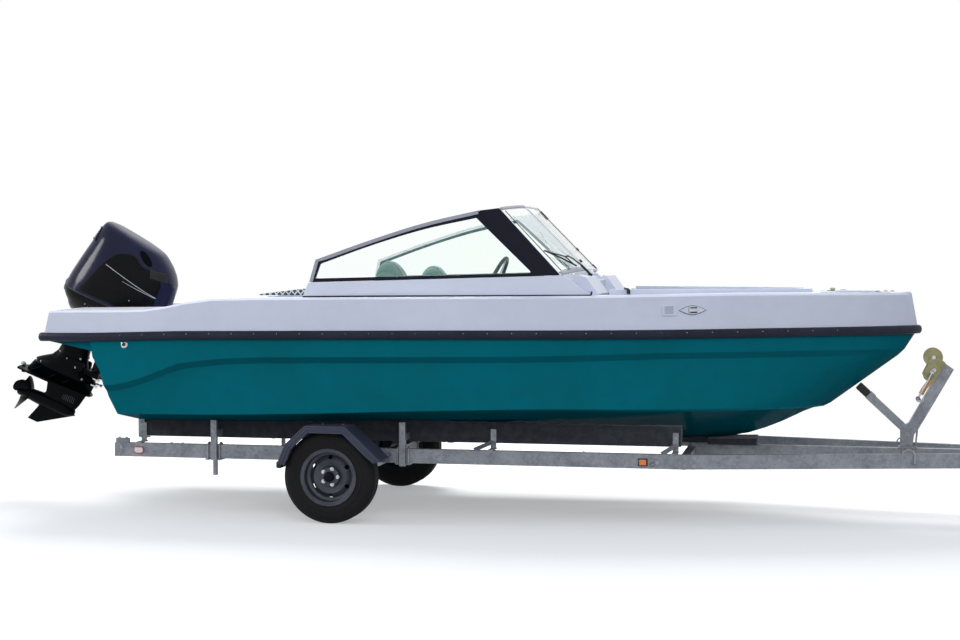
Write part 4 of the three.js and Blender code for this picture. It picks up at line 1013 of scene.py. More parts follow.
def dash():
    rims, faces, marks = Form(), Form(), Form()
    for y, r in ((-0.345, 0.034), (-0.555, 0.034), (-0.64, 0.026), (-0.705, 0.026)):
        spot = on_dash(y, 0.5)
        rims = rims + ring_round([(r, 0), (r + 0.005, 0.001), (r + 0.004, 0.008), (r - 0.001, 0.008)],
                                 (0, 0, 0), UP, 32).moved(spot)
        faces = faces + turned([(r, 0.0004), (r, 0.004)], steps=28).moved(spot)
        tick = block(r * 0.68, r * 0.88, -0.0008, 0.0008, 0.0041, 0.0045)
        ticks = [tick.moved(Matrix.Rotation(math.radians(a), 4, "Z")) for a in range(-45, 226, 30)]
        needle = block(-r * 0.2, r * 0.7, -0.0009, 0.0009, 0.0046, 0.0054).moved(Matrix.Rotation(2.3, 4, "Z"))
        marks = marks + gather(ticks + [needle]).moved(spot)
    piece("gauge_rims", rims, "bright_steel", sharp=60)
    piece("gauge_faces", faces, "dial_face")
    piece("gauge_marks", marks, "plain_white")
    spot = on_dash(-0.785, 0.5)
    panel = oblong(0.075, 0.06, 0.0003, 0.003, 0.006).moved(spot)
    rockers = gather([oblong(0.012, 0.03, 0.003, 0.008, 0.003).moved(spot @ Matrix.Translation((x, 0, 0)))
                      for x in (-0.024, -0.008, 0.008, 0.024)])
    piece("switch_panel", panel + rockers, "dial_face", rounded=0.0008)
    rail = smooth_path([at(3.436, 0.36, 1.7), at(3.39, 0.37, 1.72), at(3.385, 0.45, 1.725),
                        at(3.385, 0.62, 1.725), at(3.39, 0.7, 1.72), at(3.436, 0.71, 1.7)], 5)
    piece("dash_grab_rail", swept(rail, 0.011), "bright_steel", sharp=60)
    for name, y in (("starboard", -0.56), ("port", 0.56)):
        slope = face_frame(at(3.365, y, 1.6), STARBOARD, (0.07, 0, 0.08))
        pad = oblong(0.3, 0.2, 0.0004, 0.012, 0.03).moved(slope)
        piece(f"dash_panel_{name}", pad, "liner_white", rounded=0.003)
    box = oblong(0.12, 0.1, 0, 0.03, 0.02).moved(face_frame(at(3.14, -0.854, 1.44), AFT, UP))
    lever = swept(smooth_path([at(3.14, -0.82, 1.45), at(3.15, -0.8, 1.5), at(3.17, -0.79, 1.57),
                               at(3.172, -0.79, 1.6)], 4),
                  0.009)
    knob = rod(at(3.172, -0.765, 1.61), at(3.172, -0.835, 1.61), 0.017, 16)
    piece("throttle", box + lever + knob, "bracket_black", rounded=0.003)


def cockpit_floor():
    mat = plate([(1.62, -0.81), (3.28, -0.81), (3.28, -0.27), (3.9, -0.24), (3.9, 0.24),
                 (3.28, 0.27), (3.28, 0.81), (1.62, 0.81)], SOLE + 0.0004, SOLE + 0.0026, 0.04)
    piece("sole_mat", mat.moved(FROM_AFT), "sole_tread", rounded=0.001)
    hatch = oblong(0.46, 0.34, SOLE + 0.0028, SOLE + 0.0058, 0.03).moved(at(2.15, 0, 0))
    ring = turned([(0.026, 0), (0.026, 0.003), (0.012, 0.004)], at(2.33, 0, SOLE + 0.0058), UP, 20)
    piece("sole_hatch", hatch, "liner_white", rounded=0.001)
    piece("sole_hatch_ring", ring, "bright_steel", rounded=0.0006)
    holders = gather([ring_round([(0.034, 0), (0.044, 0.001), (0.043, 0.006), (0.036, 0.007)],
                                 at(x, y, CONSOLE_TOP), UP, 28)
                      for x, y in ((3.62, 0.66), (3.7, -0.66))])
    piece("drink_holders", holders, "bright_steel", sharp=60)
    wells = gather([turned([(0.035, 0.0003), (0.035, 0.002)], at(x, y, CONSOLE_TOP), UP, 24)
                    for x, y in ((3.62, 0.66), (3.7, -0.66))])
    piece("drink_holder_wells", wells, "seal_black")
    handle = smooth_path([at(3.894, y, 1.45) + Vector((-0.0095 * (abs(y) < 0.06), 0, 0))
                          for y in (-0.07, -0.05, 0.05, 0.07)], 4)
    piece("door_handle", swept(handle, 0.0045), "bright_steel", "walkthrough_door")


steering_wheel()
dash()
cockpit_floor()


# ---- cushions ----------------------------------------------------------------------------------------
def settle(thing, voxel):
    """Even quads all over, so that a cushion can swell."""
    cells = thing.modifiers.new("cells", "REMESH")
    cells.mode, cells.voxel_size, cells.use_smooth_shade = "VOXEL", voxel, True
    bake_shape(thing)


def bake_shape(thing):
    graph = bpy.context.evaluated_depsgraph_get()
    mesh = bpy.data.meshes.new_from_object(thing.evaluated_get(graph))
    thing.modifiers.clear()
    thing.data = mesh


def swell(things):
    """Air in every cushion at once; each point moves no further than its cushion's cap."""
    rest = [[v.co.copy() for v in thing.data.vertices] for thing, _ in things]
    for thing, _ in things:
        air = thing.modifiers.new("air", "CLOTH").settings
        air.use_pressure, air.uniform_pressure_force = True, 4.0
        air.effector_weights.gravity = 0
        air.quality = 5
    for count in range(1, 21):
        bpy.context.scene.frame_set(count)
    for (thing, cap), old in zip(things, rest):
        bake_shape(thing)
        for v, start in zip(thing.data.vertices, old):
            move = v.co - start
            if move.length > cap:
                v.co = start + move * (cap / move.length)
    bpy.context.scene.frame_set(1)
    for thing, _ in things:
        even = thing.modifiers.new("even", "SMOOTH")
        even.factor, even.iterations = 0.5, 3
        finer = thing.modifiers.new("finer", "SUBSURF")
        finer.levels = finer.render_levels = 1
        bake_shape(thing)


def seam_at(axis, place):
    """A seam that crosses a cushion at one place on an axis."""
    return lambda p, n: getattr(p, axis) - place


def twin(centre, half):
    """Two seams, the same way either side of a cushion's middle."""
    return lambda p, n: abs(p.y - centre) - half


def welt(height):
    """A seam round a cushion's upright sides, which doesn't reach its flat ones."""
    return lambda p, n: (p.z - height) if abs(n.z) < 0.6 else 9


def sew(thing, lines):
    """Pulls the surface in along sewn lines; a line gives a point's distance from it."""
    depth, width = 0.007, 0.007
    mesh = thing.data
    normals = [v.normal.copy() for v in mesh.vertices]
    for v, normal in zip(mesh.vertices, normals):
        away = min(abs(line(v.co, normal)) for line in lines)
        v.co -= normal * depth * math.exp(-(away / width) ** 2)
    mesh.update()


def seat_shell(side, body, x, y):
    """Swivel plate and tub under a helm seat."""
    swivel = turned([(0.11, 1.3167), (0.11, 1.333)], at(x, y, 0), UP, 28)
    tub = prism("z", softened([(-0.2, -0.215), (0.25, -0.2), (0.25, 0.2), (-0.2, 0.215)], 0.06), 1.331, 1.372)
    piece(f"seat_swivel_{side}", swivel, "bracket_black", body, rounded=0.002)
    piece(f"seat_tub_{side}", tub.moved(at(x, y, 0)), "liner_white", body, rounded=0.008)


def cushions():
    made, sewn = [], []

    def soft(name, form, body, voxel, cap, lines, stands_for=()):
        thing = piece(name, form, "seat_vinyl", body, stands_for=stands_for)
        settle(thing, voxel)
        made.append((thing, cap))
        sewn.append((thing, lines))

    for side, body, x, y in (("starboard", "helm_seat", 2.66, -0.45), ("port", "mate_seat", 2.765, 0.45)):
        seat_shell(side, body, x, y)
        squab = prism("z", softened([(-0.205, -0.215), (0.262, -0.205), (0.262, 0.205), (-0.205, 0.215)],
                                    0.05), 1.374, 1.432)
        centre = at(x, y, 0)
        soft(f"seat_squab_{side}", squab.moved(centre), body, 0.011, 0.012,
             [twin(centre.y, 0.1), welt(1.402)], stands_for=f"seat_{side}")
        # the back is a rounded shield: its sides draw in towards the top, and its corners fall away
        corners = ((-0.208, 1.45), (-0.312, 1.765), (-0.302, 1.796), (-0.282, 1.817), (-0.246, 1.827),
                   (-0.205, 1.818), (-0.166, 1.775), (-0.13, 1.7), (-0.085, 1.45))
        profile = softened([Vector(p) for p in corners], 0.012)
        lowered, ahead = (0.032, 0.036) if side == "port" else (-0.008, 0.02)
        slices = []
        for k in range(15):
            across = k / 7 - 1
            rows = [(p, min(max((p.y - 1.45) / 0.377, 0), 1)) for p in profile]
            slices.append([(p.x + ahead * up, 0.212 * across * (1 - 0.2 * up * up),
                            p.y - (0.1 * abs(across) ** 3 + lowered) * up) for p, up in rows])
        soft(f"seat_back_{side}", skin(slices).moved(centre), body, 0.011, 0.012,
             [twin(centre.y, 0.07), twin(centre.y, 0.155)])
    bench_low = block(1.105, 1.572, -0.838, 0.838, 1.337, 1.4).moved(FROM_AFT)
    thirds = twin(0, 0.28)
    soft("bench_squab", bench_low, BOAT, 0.014, 0.01, [thirds, welt(1.37)], stands_for="bench_cushion")
    bench_back = prism("y", softened([(1.093, 1.41), (1.093, 1.54), (1.12, 1.545), (1.172, 1.498),
                                      (1.186, 1.41)], 0.02),
                       -0.838, 0.838).moved(FROM_AFT)
    soft("bench_back", bench_back, BOAT, 0.014, 0.007, [thirds])
    low, top = SEAT_TOP + 0.006, SEAT_TOP + 0.082
    rows = [(4.07, 0.80), (4.33, 0.70), (4.7, 0.575), (5.1, 0.395), (5.352, 0.222)]
    for side, s in SIDES:
        wing = prism("z", softened([(4.07, s * 0.3), *[(x, s * (y - 0.008)) for x, y in rows[:3]],
                                    (4.955, s * 0.46), (4.955, s * 0.3)], 0.02), low, top).moved(FROM_AFT)
        soft(f"bow_squab_{side}", wing, BOAT, 0.013, 0.01,
             [seam_at("x", at(4.52, 0, 0).x), welt(1.275)], stands_for="bow_cushion" if s < 0 else ())
        rest = prism("y", softened([(4.066, 1.33), (4.052, 1.61), (4.09, 1.622), (4.142, 1.588),
                                    (4.176, 1.33)], 0.02),
                     0.31, 0.69).moved(FROM_AFT)
        soft(f"bow_rest_{side}", rest if s > 0 else rest.mirrored(), BOAT, 0.012, 0.008,
             [seam_at("y", s * 0.5)])
    nose = prism("z", softened([(4.975, -0.44), (5.1, -0.385), (5.352, -0.215), (5.352, 0.215), (5.1, 0.385),
                                (4.975, 0.44)], 0.02), low, top).moved(FROM_AFT)
    soft("bow_squab_nose", nose, BOAT, 0.013, 0.01, [welt(1.275)])
    swell(made)
    for thing, lines in sewn:
        sew(thing, lines)
        thing.data.shade_smooth()


def bolsters():
    """Diamond quilted pads along the cockpit sides, rising forward to the screen moulding."""
    low = curve_through([(1.58, 1.5815), (2.32, 1.5845)])
    high = curve_through([(1.58, 1.587), (1.6, 1.5925), (1.746, 1.611), (1.92, 1.63), (2.29, 1.6355),
                          (2.32, 1.61)])
    rings = []
    for k in range(148):
        x = 1.582 + 0.005 * k
        ring, mid = [], (low(x) + high(x)) / 2
        for j in range(40):
            a = 2 * math.pi * j / 40
            across, up = [math.copysign(abs(v) ** 0.35, v) for v in (math.cos(a), math.sin(a))]
            way = j / 40 * 0.19
            puff = abs(math.sin(math.pi * (x + way) / 0.034)) * abs(math.sin(math.pi * (x - way) / 0.034))
            grow = 0.9 + 0.1 * puff ** 0.5
            ring.append(at(x, 0.82 + 0.0295 * across * grow, mid + (high(x) - low(x)) * 0.5 * up * grow))
        rings.append(ring)
    for side, form in (("port", skin(rings)), ("starboard", skin(rings).mirrored())):
        pad = piece(f"quilted_bolster_{side}", form, "quilt_vinyl", sharp=70,
                    stands_for=f"side_bolster_{side}")


cushions()
bolsters()


# ---- engine -------------------------------------------------------------------------------------------
POWER = 2.6                       # squareness of the cowl's sections
COWL_ROWS = [(0.2104, -0.693, 0.146, 0.232), (0.3, -0.681, 0.149, 0.234), (0.4, -0.659, 0.146, 0.23),
             (0.507, -0.633, 0.14, 0.22), (0.565, -0.618, 0.114, 0.211), (0.625, -0.603, 0.067, 0.2),
             (0.672, -0.59, 0.012, 0.19), (0.708, -0.581, -0.043, 0.178), (0.738, -0.572, -0.16, 0.16),
             (0.762, -0.562, -0.31, 0.134), (0.78, -0.55, -0.44, 0.092), (0.787, -0.54, -0.49, 0.044)]
PAN_ROWS = [(0.0465, -0.604, -0.04, 0.11), (0.075, -0.62, -0.025, 0.16), (0.11, -0.636, 0.006, 0.192),
            (0.14, -0.664, 0.04, 0.208), (0.165, -0.681, 0.084, 0.22), (0.188, -0.691, 0.123, 0.227),
            (0.21, -0.693, 0.143, 0.231)]


def hood(rows):
    """Places on a stack of rounded sections: angle from ahead, height, and how far out from the face."""
    aft, fore, half = [curve_through([(row[0], row[k]) for row in rows]) for k in (1, 2, 3)]

    def place(angle, z, out=0.0):
        c, s, e = math.cos(angle), math.sin(angle), 2 / POWER
        middle, reach = (fore(z) + aft(z)) / 2, (fore(z) - aft(z)) / 2 + out
        return Vector((middle + reach * math.copysign(abs(c) ** e, c),
                       (half(z) + out) * math.copysign(abs(s) ** e, s), z))

    def side(x, z, out=0.0):
        middle, reach = (fore(z) + aft(z)) / 2, (fore(z) - aft(z)) / 2 + out
        share = min(abs((x - middle) / reach), 1)
        return Vector((x, -(half(z) + out) * (1 - share ** POWER) ** (1 / POWER), z))

    return place, side


on_cowl, cowl_side = hood(COWL_ROWS)
on_pan, pan_side = hood(PAN_ROWS)


def stack(place, heights):
    return skin([[place(turn, z) for turn in turns_of(72)] for z in heights])


def patch(place, angles, heights, out, na=16, nz=8):
    """A raised panel on a hood, between two angles and two heights."""
    rings = []
    for z in spaced(*heights, nz):
        row = spaced(*angles, na)
        rings.append([place(a, z, out) for a in row] + [place(a, z, -0.004) for a in reversed(row)])
    return skin(rings)


def line_on(side, start, end, wide, narrow):
    """A painted line along the hood's side."""
    rings, count = [], 24
    for k in range(count + 1):
        t = k / count
        x, z = start[0] + (end[0] - start[0]) * t, start[1] + (end[1] - start[1]) * t
        w = (wide + (narrow - wide) * t) / 2
        rings.append([side(x, z - w, 0.0002), side(x, z + w, 0.0002), side(x, z + w, 0.002),
                      side(x, z - w, 0.002)])
    return skin(rings)


def on_engine(name, form, finish, both=False, **look):
    """A piece given in the frame of the engine, which stands tilted up. Both adds its mirror image."""
    whole = form + form.mirrored() if both else form
    return piece(name, whole.moved(ENGINE), finish, "engine", **look)


def cowl():
    foot, top = COWL_ROWS[0][0], COWL_ROWS[-1][0]
    heights = [foot + (top - foot) * (1 - (1 - k / 40) ** 1.5) for k in range(41)]
    on_engine("cowl_shell", stack(on_cowl, heights), "engine_gloss", sharp=60, stands_for="engine_cowl")
    low = spaced(PAN_ROWS[0][0], PAN_ROWS[-1][0], 14)
    on_engine("pan_shell", stack(on_pan, low), "pan_gloss", sharp=60, stands_for="engine_pan")
    seam = stack(lambda a, z: on_cowl(a, 0.2105, 0.0012) + Vector((0, 0, z)), (-0.0045, 0.0035))
    on_engine("cowl_seam", seam, "seal_black", rounded=0.001)
    lines = line_on(cowl_side, (-0.37, 0.499), (0.08, 0.398), 0.0042, 0.003)
    lines = lines + line_on(cowl_side, (-0.196, 0.428), (0.076, 0.3965), 0.0016, 0.004)
    on_engine("cowl_lines", lines, "silver_line", both=True, sharp=50)
    band = patch(on_cowl, (math.pi - 0.36, math.pi + 0.36), (0.2155, 0.262), 0.005)
    band = band + patch(on_pan, (math.pi - 0.36, math.pi + 0.36), (0.168, 0.205), 0.005)
    on_engine("rear_catch", band, "cap_grey", rounded=0.003)
    hole = gather([turned([(0.009, -0.002), (0.009, 0.0012)],
                          on_cowl(math.pi + s * 0.22, 0.234, 0.005), AFT, 16)
                   for s in (-1, 1)])
    on_engine("rear_catch_hole", hole, "seal_black")
    rings = []
    for share, out in ((1, -0.004), (1, 0.0006), (0.93, 0.0016), (0.6, 0.0016), (0.3, 0.0016),
                       (0.05, 0.0016)):
        turns = turns_of(28)
        along = [(0.074 * share * math.cos(a), 0.025 * share * math.sin(a)) for a in turns]
        rings.append([cowl_side(-0.1 + 0.83 * u + 0.56 * v, 0.652 - 0.56 * u + 0.83 * v, out)
                      for u, v in along])
    on_engine("side_scoops", skin(rings), "engine_paint", both=True, sharp=60)
    # painted reflection: a black panel on each side of the glossy cowl, up to this crown line, stands for
    # dark surroundings reflected there
    crown = curve_through([(-0.5, 0.262), (-0.458, 0.35), (-0.4, 0.488), (-0.3, 0.612), (-0.19, 0.64),
                           (-0.085, 0.585), (0.03, 0.575), (0.08, 0.5)])
    rings = []
    for k in range(41):
        x = -0.5 + 0.58 * k / 40
        row = spaced(0.232, crown(x), 14)
        outer, inner = [[cowl_side(x, z, out) for z in row] for out in (0.0008, -0.003)]
        rings.append(outer + inner[::-1])
    on_engine("hood_painted_reflection", skin(rings), "pan_gloss", both=True, sharp=60)
    vent = patch(on_cowl, (2 * math.pi - 1.0, 2 * math.pi - 0.42), (0.53, 0.594), 0.0012)
    vent = vent + gather([patch(on_cowl, (2 * math.pi - 0.96, 2 * math.pi - 0.46), (z, z + 0.005),
                                0.0042, na=8, nz=1)
                          for z in (0.538, 0.552, 0.566, 0.58)])
    on_engine("fore_vents", vent, "seal_black", both=True, rounded=0.0006)
    wide, sill, brow = 0.66, 0.628, 0.728
    mouth = (math.pi - wide, math.pi + wide)
    on_engine("air_intake", patch(on_cowl, mouth, (sill, brow), 0.0015), "seal_black", rounded=0.001)
    loop = [(mouth[0], sill), (mouth[1], sill), (mouth[1] - 0.1, brow), (mouth[0] + 0.1, brow)]
    way = []
    for i in range(4):
        a, b = Vector(loop[i]), Vector(loop[(i + 1) % 4])
        way += [on_cowl(p.x, p.y, 0.003) for p in [a.lerp(b, k / 10) for k in range(10)]]
    on_engine("intake_lip", swept(way, 0.0065, closed=True), "engine_gloss", sharp=60)
    fins = gather([patch(on_cowl, (mouth[0] + 0.06, mouth[1] - 0.06), (z, z + 0.004), 0.005, na=14, nz=1)
                   for z in (0.65, 0.668, 0.686, 0.704)])
    on_engine("intake_fins", fins, "engine_paint")
    studs = gather([dome(side(x, z, 0.0008), STARBOARD, 0.0045, 0.003, 10)
                    for side, x, z in ((cowl_side, -0.091, 0.312), (pan_side, -0.42, 0.15),
                                       (pan_side, -0.08, 0.165))])
    on_engine("hood_studs", studs, "bright_steel", both=True)
    grip = patch(on_cowl, (1.5 * math.pi + 0.42, 1.5 * math.pi + 0.6), (0.222, 0.252), 0.0025, na=6, nz=4)
    on_engine("side_catch", grip, "seal_black", both=True, rounded=0.0015)


def lower_unit():
    """Bolts, covers, anodes and water inlets of leg and gearcase."""
    spots = ((-0.456, -0.326, 0.079), (-0.352, -0.289, 0.076), (-0.366, -0.365, 0.083), (-0.54, -0.3, 0.052),
             (-0.65, -0.43, 0.078), (-0.28, -0.43, 0.086), (-0.35, -0.02, 0.07), (-0.53, -0.03, 0.066))
    heads = bolts([(x, -y, z) for x, z, y in spots], STARBOARD, 0.0055)
    on_engine("leg_bolts", heads, "cast_zinc", both=True)
    studs = gather([rod((-0.21, 0, z), (-0.172, 0, z), 0.008) + rod((-0.172, 0, z), (-0.154, 0, z), 0.0125, 6)
                    for z in (-0.397, -0.447)])
    studs = gather([studs.moved(Vector((0, y, 0))) for y in (-0.05, 0.05)])
    on_engine("mount_studs", studs, "bright_steel", rounded=0.001)
    cover = prism("y", softened([(-0.53, -0.05), (-0.36, -0.05), (-0.37, -0.25), (-0.52, -0.26)], 0.03),
                  0.058, 0.079)
    mounts = prism("y", softened([(-0.5, -0.31), (-0.31, -0.31), (-0.3, -0.385), (-0.52, -0.385)], 0.02),
                   0.058, 0.083)
    on_engine("leg_covers", cover + mounts, "engine_paint", both=True, rounded=0.005)
    inlet = gather([block(-0.4 + 0.016 * k, -0.394 + 0.016 * k, -0.0375, -0.034, -0.65, -0.6)
                    for k in range(7)])
    on_engine("water_inlets", inlet, "seal_black", both=True, rounded=0.0008)
    anodes = turned([(0.012, 0), (0.02, 0.006), (0.022, 0.014), (0.016, 0.026), (0.006, 0.031)],
                    (-0.812, 0, -0.537), UP, 20)
    anodes = anodes + block(-0.62, -0.5, -0.03, 0.03, -0.5575, -0.5495)
    on_engine("zinc_anodes", anodes, "cast_zinc", sharp=60)
    ribs = gather([prism("y", [(-0.72 + 0.03 * k, -0.5335), (-0.7 + 0.03 * k, -0.5335),
                               (-0.62 + 0.03 * k, -0.455), (-0.63 + 0.03 * k, -0.455)], 0.03, 0.06)
                   for k in (0, 5, 9)])
    on_engine("plate_ribs", ribs, "engine_paint", both=True, rounded=0.002)


def screw():
    """Three skewed and raked blades on a hub that lets the exhaust out aft."""
    chord = curve_through([(0.036, 0.044), (0.08, 0.062), (0.125, 0.059), (0.15, 0.042), (0.161, 0.014)])
    middle = curve_through([(0.036, -0.707), (0.08, -0.722), (0.125, -0.738), (0.15, -0.75), (0.161, -0.757)])
    thick = curve_through([(0.036, 0.006), (0.08, 0.005), (0.125, 0.004), (0.161, 0.0015)])
    pitch = 0.48
    sections = []
    for k in range(13):
        r = 0.038 + 0.123 * (1 - (1 - k / 12) ** 1.6)
        a = math.atan(pitch / (2 * math.pi * r))
        ring = []
        for turn in turns_of(20):
            u, v = chord(r) * math.cos(turn), thick(r) * math.sin(turn)
            over = u * math.cos(a)
            ring.append((middle(r) + u * math.sin(a) + v * math.cos(a), over - v * math.sin(a),
                         math.sqrt(r * r - over * over)))
        sections.append(ring)
    blade = skin(sections)
    hub = turned([(0.027, -0.755), (0.03, -0.771), (0.036, -0.772), (0.044, -0.76), (0.046, -0.666)],
                 (0, 0, 0), AHEAD, 32)
    nut = rod((-0.77, 0, 0), (-0.752, 0, 0), 0.012, 6) + rod((-0.756, 0, 0), (-0.752, 0, 0), 0.02)
    whole = hub + gather([blade.moved(Matrix.Rotation(math.radians(60 + 120 * k), 4, "X")) for k in range(3)])
    place = ENGINE @ Matrix.Translation((0, 0, PROP_DOWN))
    piece("propeller_blades", whole.moved(place), "engine_paint", "propeller", sharp=50,
          stands_for="propeller")
    piece("propeller_nut", nut.moved(place), "bright_steel", "propeller", rounded=0.001)


def bracket_details():
    tilt = at(TILT_AXIS[0], 0, TILT_AXIS[1])
    caps = gather([rod(tilt + Vector((0, s * 0.112, 0)), tilt + Vector((0, s * 0.13, 0)), 0.024, 6)
                   for s in (-1, 1)])
    piece("tilt_tube_nuts", caps, "bright_steel", rounded=0.002)
    side = -0.1125
    heads = bolts([at(x, side, z) for x, z in ((0.405, 1.13), (0.437, 1.045), (0.47, 0.965))],
                  STARBOARD, 0.009)
    for x, z in ((0.33, 1.19), (0.372, 1.125), (0.402, 1.06), (0.43, 0.995)):
        heads = heads + turned([(0.009, -0.001), (0.009, 0.0015), (0.005, 0.002)], at(x, side, z),
                               STARBOARD, 14)
    piece("clamp_bolts", heads, "bright_steel", mirror=True)
    through = [at(0.42, y, 1.12) + Vector((0.052, 0, 0)) for y in (-0.08, 0.08)]
    piece("transom_bolts", bolts(through, (1, 0, 0.39), 0.012), "bright_steel")


cowl()
lower_unit()
screw()
bracket_details()


# ---- trailer --------------------------------------------------------------------------------------------
def tyre_form():
    """Ribbed tread with cross cuts at the shoulders, and a raised band on each sidewall."""
    half, rim = WHEEL_W / 2, 0.19
    edge = [(rim + 0.001, half - 0.018), (rim + 0.01, half - 0.006), (rim + 0.03, half - 0.003),
            (rim + 0.05, half),
            (rim + 0.054, half - 0.003), (WHEEL_R - 0.05, half - 0.001), (WHEEL_R - 0.024, half - 0.01),
            (WHEEL_R - 0.01, half - 0.025), (WHEEL_R - 0.003, half - 0.036)]
    crown = []
    for groove in (0.052, 0.02):
        crown += [(WHEEL_R, groove + 0.005), (WHEEL_R - 0.007, groove + 0.0035),
                  (WHEEL_R - 0.007, groove - 0.0035), (WHEEL_R, groove - 0.005)]
    half_round = edge + crown
    whole = half_round + [(r, -h) for r, h in reversed(half_round)]
    rings = []
    for i, a in enumerate(turns_of(240)):
        cut = 0.005 if i % 5 == 0 else 0.0
        row = [(r - (cut if r > WHEEL_R - 0.012 and abs(h) > 0.058 else 0), h) for r, h in whole]
        rings.append([(r * math.cos(a), h, r * math.sin(a)) for r, h in row])
    return skin(rings, closed=True)


def wheels():
    for side, s in SIDES:
        body, hub = f"wheel_{side}", at(WHEEL_X, s * WHEEL_Y, WHEEL_R)
        piece(f"tread_{side}", tyre_form().moved(hub), "tyre_rubber", body, sharp=30,
              stands_for=f"tyre_{side}")
        out = Vector((0, s, 0))
        turns = turns_of(5)
        studs = [hub + Vector((0.056 * math.cos(a), s * 0.052, 0.056 * math.sin(a))) for a in turns]
        nuts = bolts(studs, out, 0.0095, 0.006)
        piece(f"wheel_nuts_{side}", nuts, "bright_steel", body)
        cap = turned([(0.036, 0), (0.036, 0.016), (0.03, 0.026), (0.012, 0.031)], hub + out * 0.0585, out, 28)
        piece(f"hub_cap_{side}", cap, "bracket_black", body, rounded=0.002)
        lip = ring_round([(0.176, 0.088), (0.182, 0.0905), (0.192, 0.089), (0.192, 0.086), (0.178, 0.085)],
                         hub, out, 64)
        piece(f"rim_lip_{side}", lip, "rim_paint", body, sharp=60)
        drum = ring_round([(0.064, -0.06), (0.144, -0.06), (0.146, -0.014), (0.064, -0.012)], hub, out, 48)
        piece(f"brake_drum_{side}", drum, "bracket_black", body, sharp=60)
        valve = hub + Vector((0.168, s * 0.06, 0.02))
        piece(f"valve_{side}", rod(valve, valve + out * 0.034, 0.004), "seal_black", body)


def arch_line(inset):
    """The fender's bent arch, set in towards the wheel."""
    line = []
    for x, z in ((1.806, 0.417), (1.858, 0.548), (2.004, 0.682), (2.29, 0.682), (2.486, 0.502),
                 (2.544, 0.449)):
        out = Vector((x - 2.185, z - 0.33)).normalized()
        line.append(at(x - out.x * inset, 0, z - out.y * inset))
    return line


def fender_trim():
    ribs = gather([swept([p + Vector((0, y, 0)) for p in arch_line(inset)], radius, up=PORT)
                   for y, inset, radius in ((-1.1325, 0.027, 0.0045), (-1.128, 0.048, 0.006),
                                            (-1.1275, 0.004, 0.0075))])
    piece("fender_ribs", ribs, "fender_plastic", sharp=60, mirror=True)
    foot = block(1.785, 1.824, -1.1, -0.9, 0.38, 0.43).moved(FROM_AFT)
    piece("fender_foot", foot, "matte_rubber", rounded=0.01, mirror=True)
    heads = gather([dome(at(x, y, z), UP, 0.009, 0.005, 12) for x, z in ((2.08, 0.682), (2.23, 0.682))
                    for y in (-0.9, -0.95)])
    piece("fender_screws", heads, "bright_steel", mirror=True)


def saddle(x):
    """A U bolt over the side member with its plate and nuts below."""
    low, high = 0.388, 0.512
    form = u_bolt(x, -FRAME_MID, low, high, 0.066, 0.007, across="y")
    strap = block(x - 0.017, x + 0.017, -0.794, -0.706, low + 0.003, low + 0.0105).moved(FROM_AFT)
    return form + strap


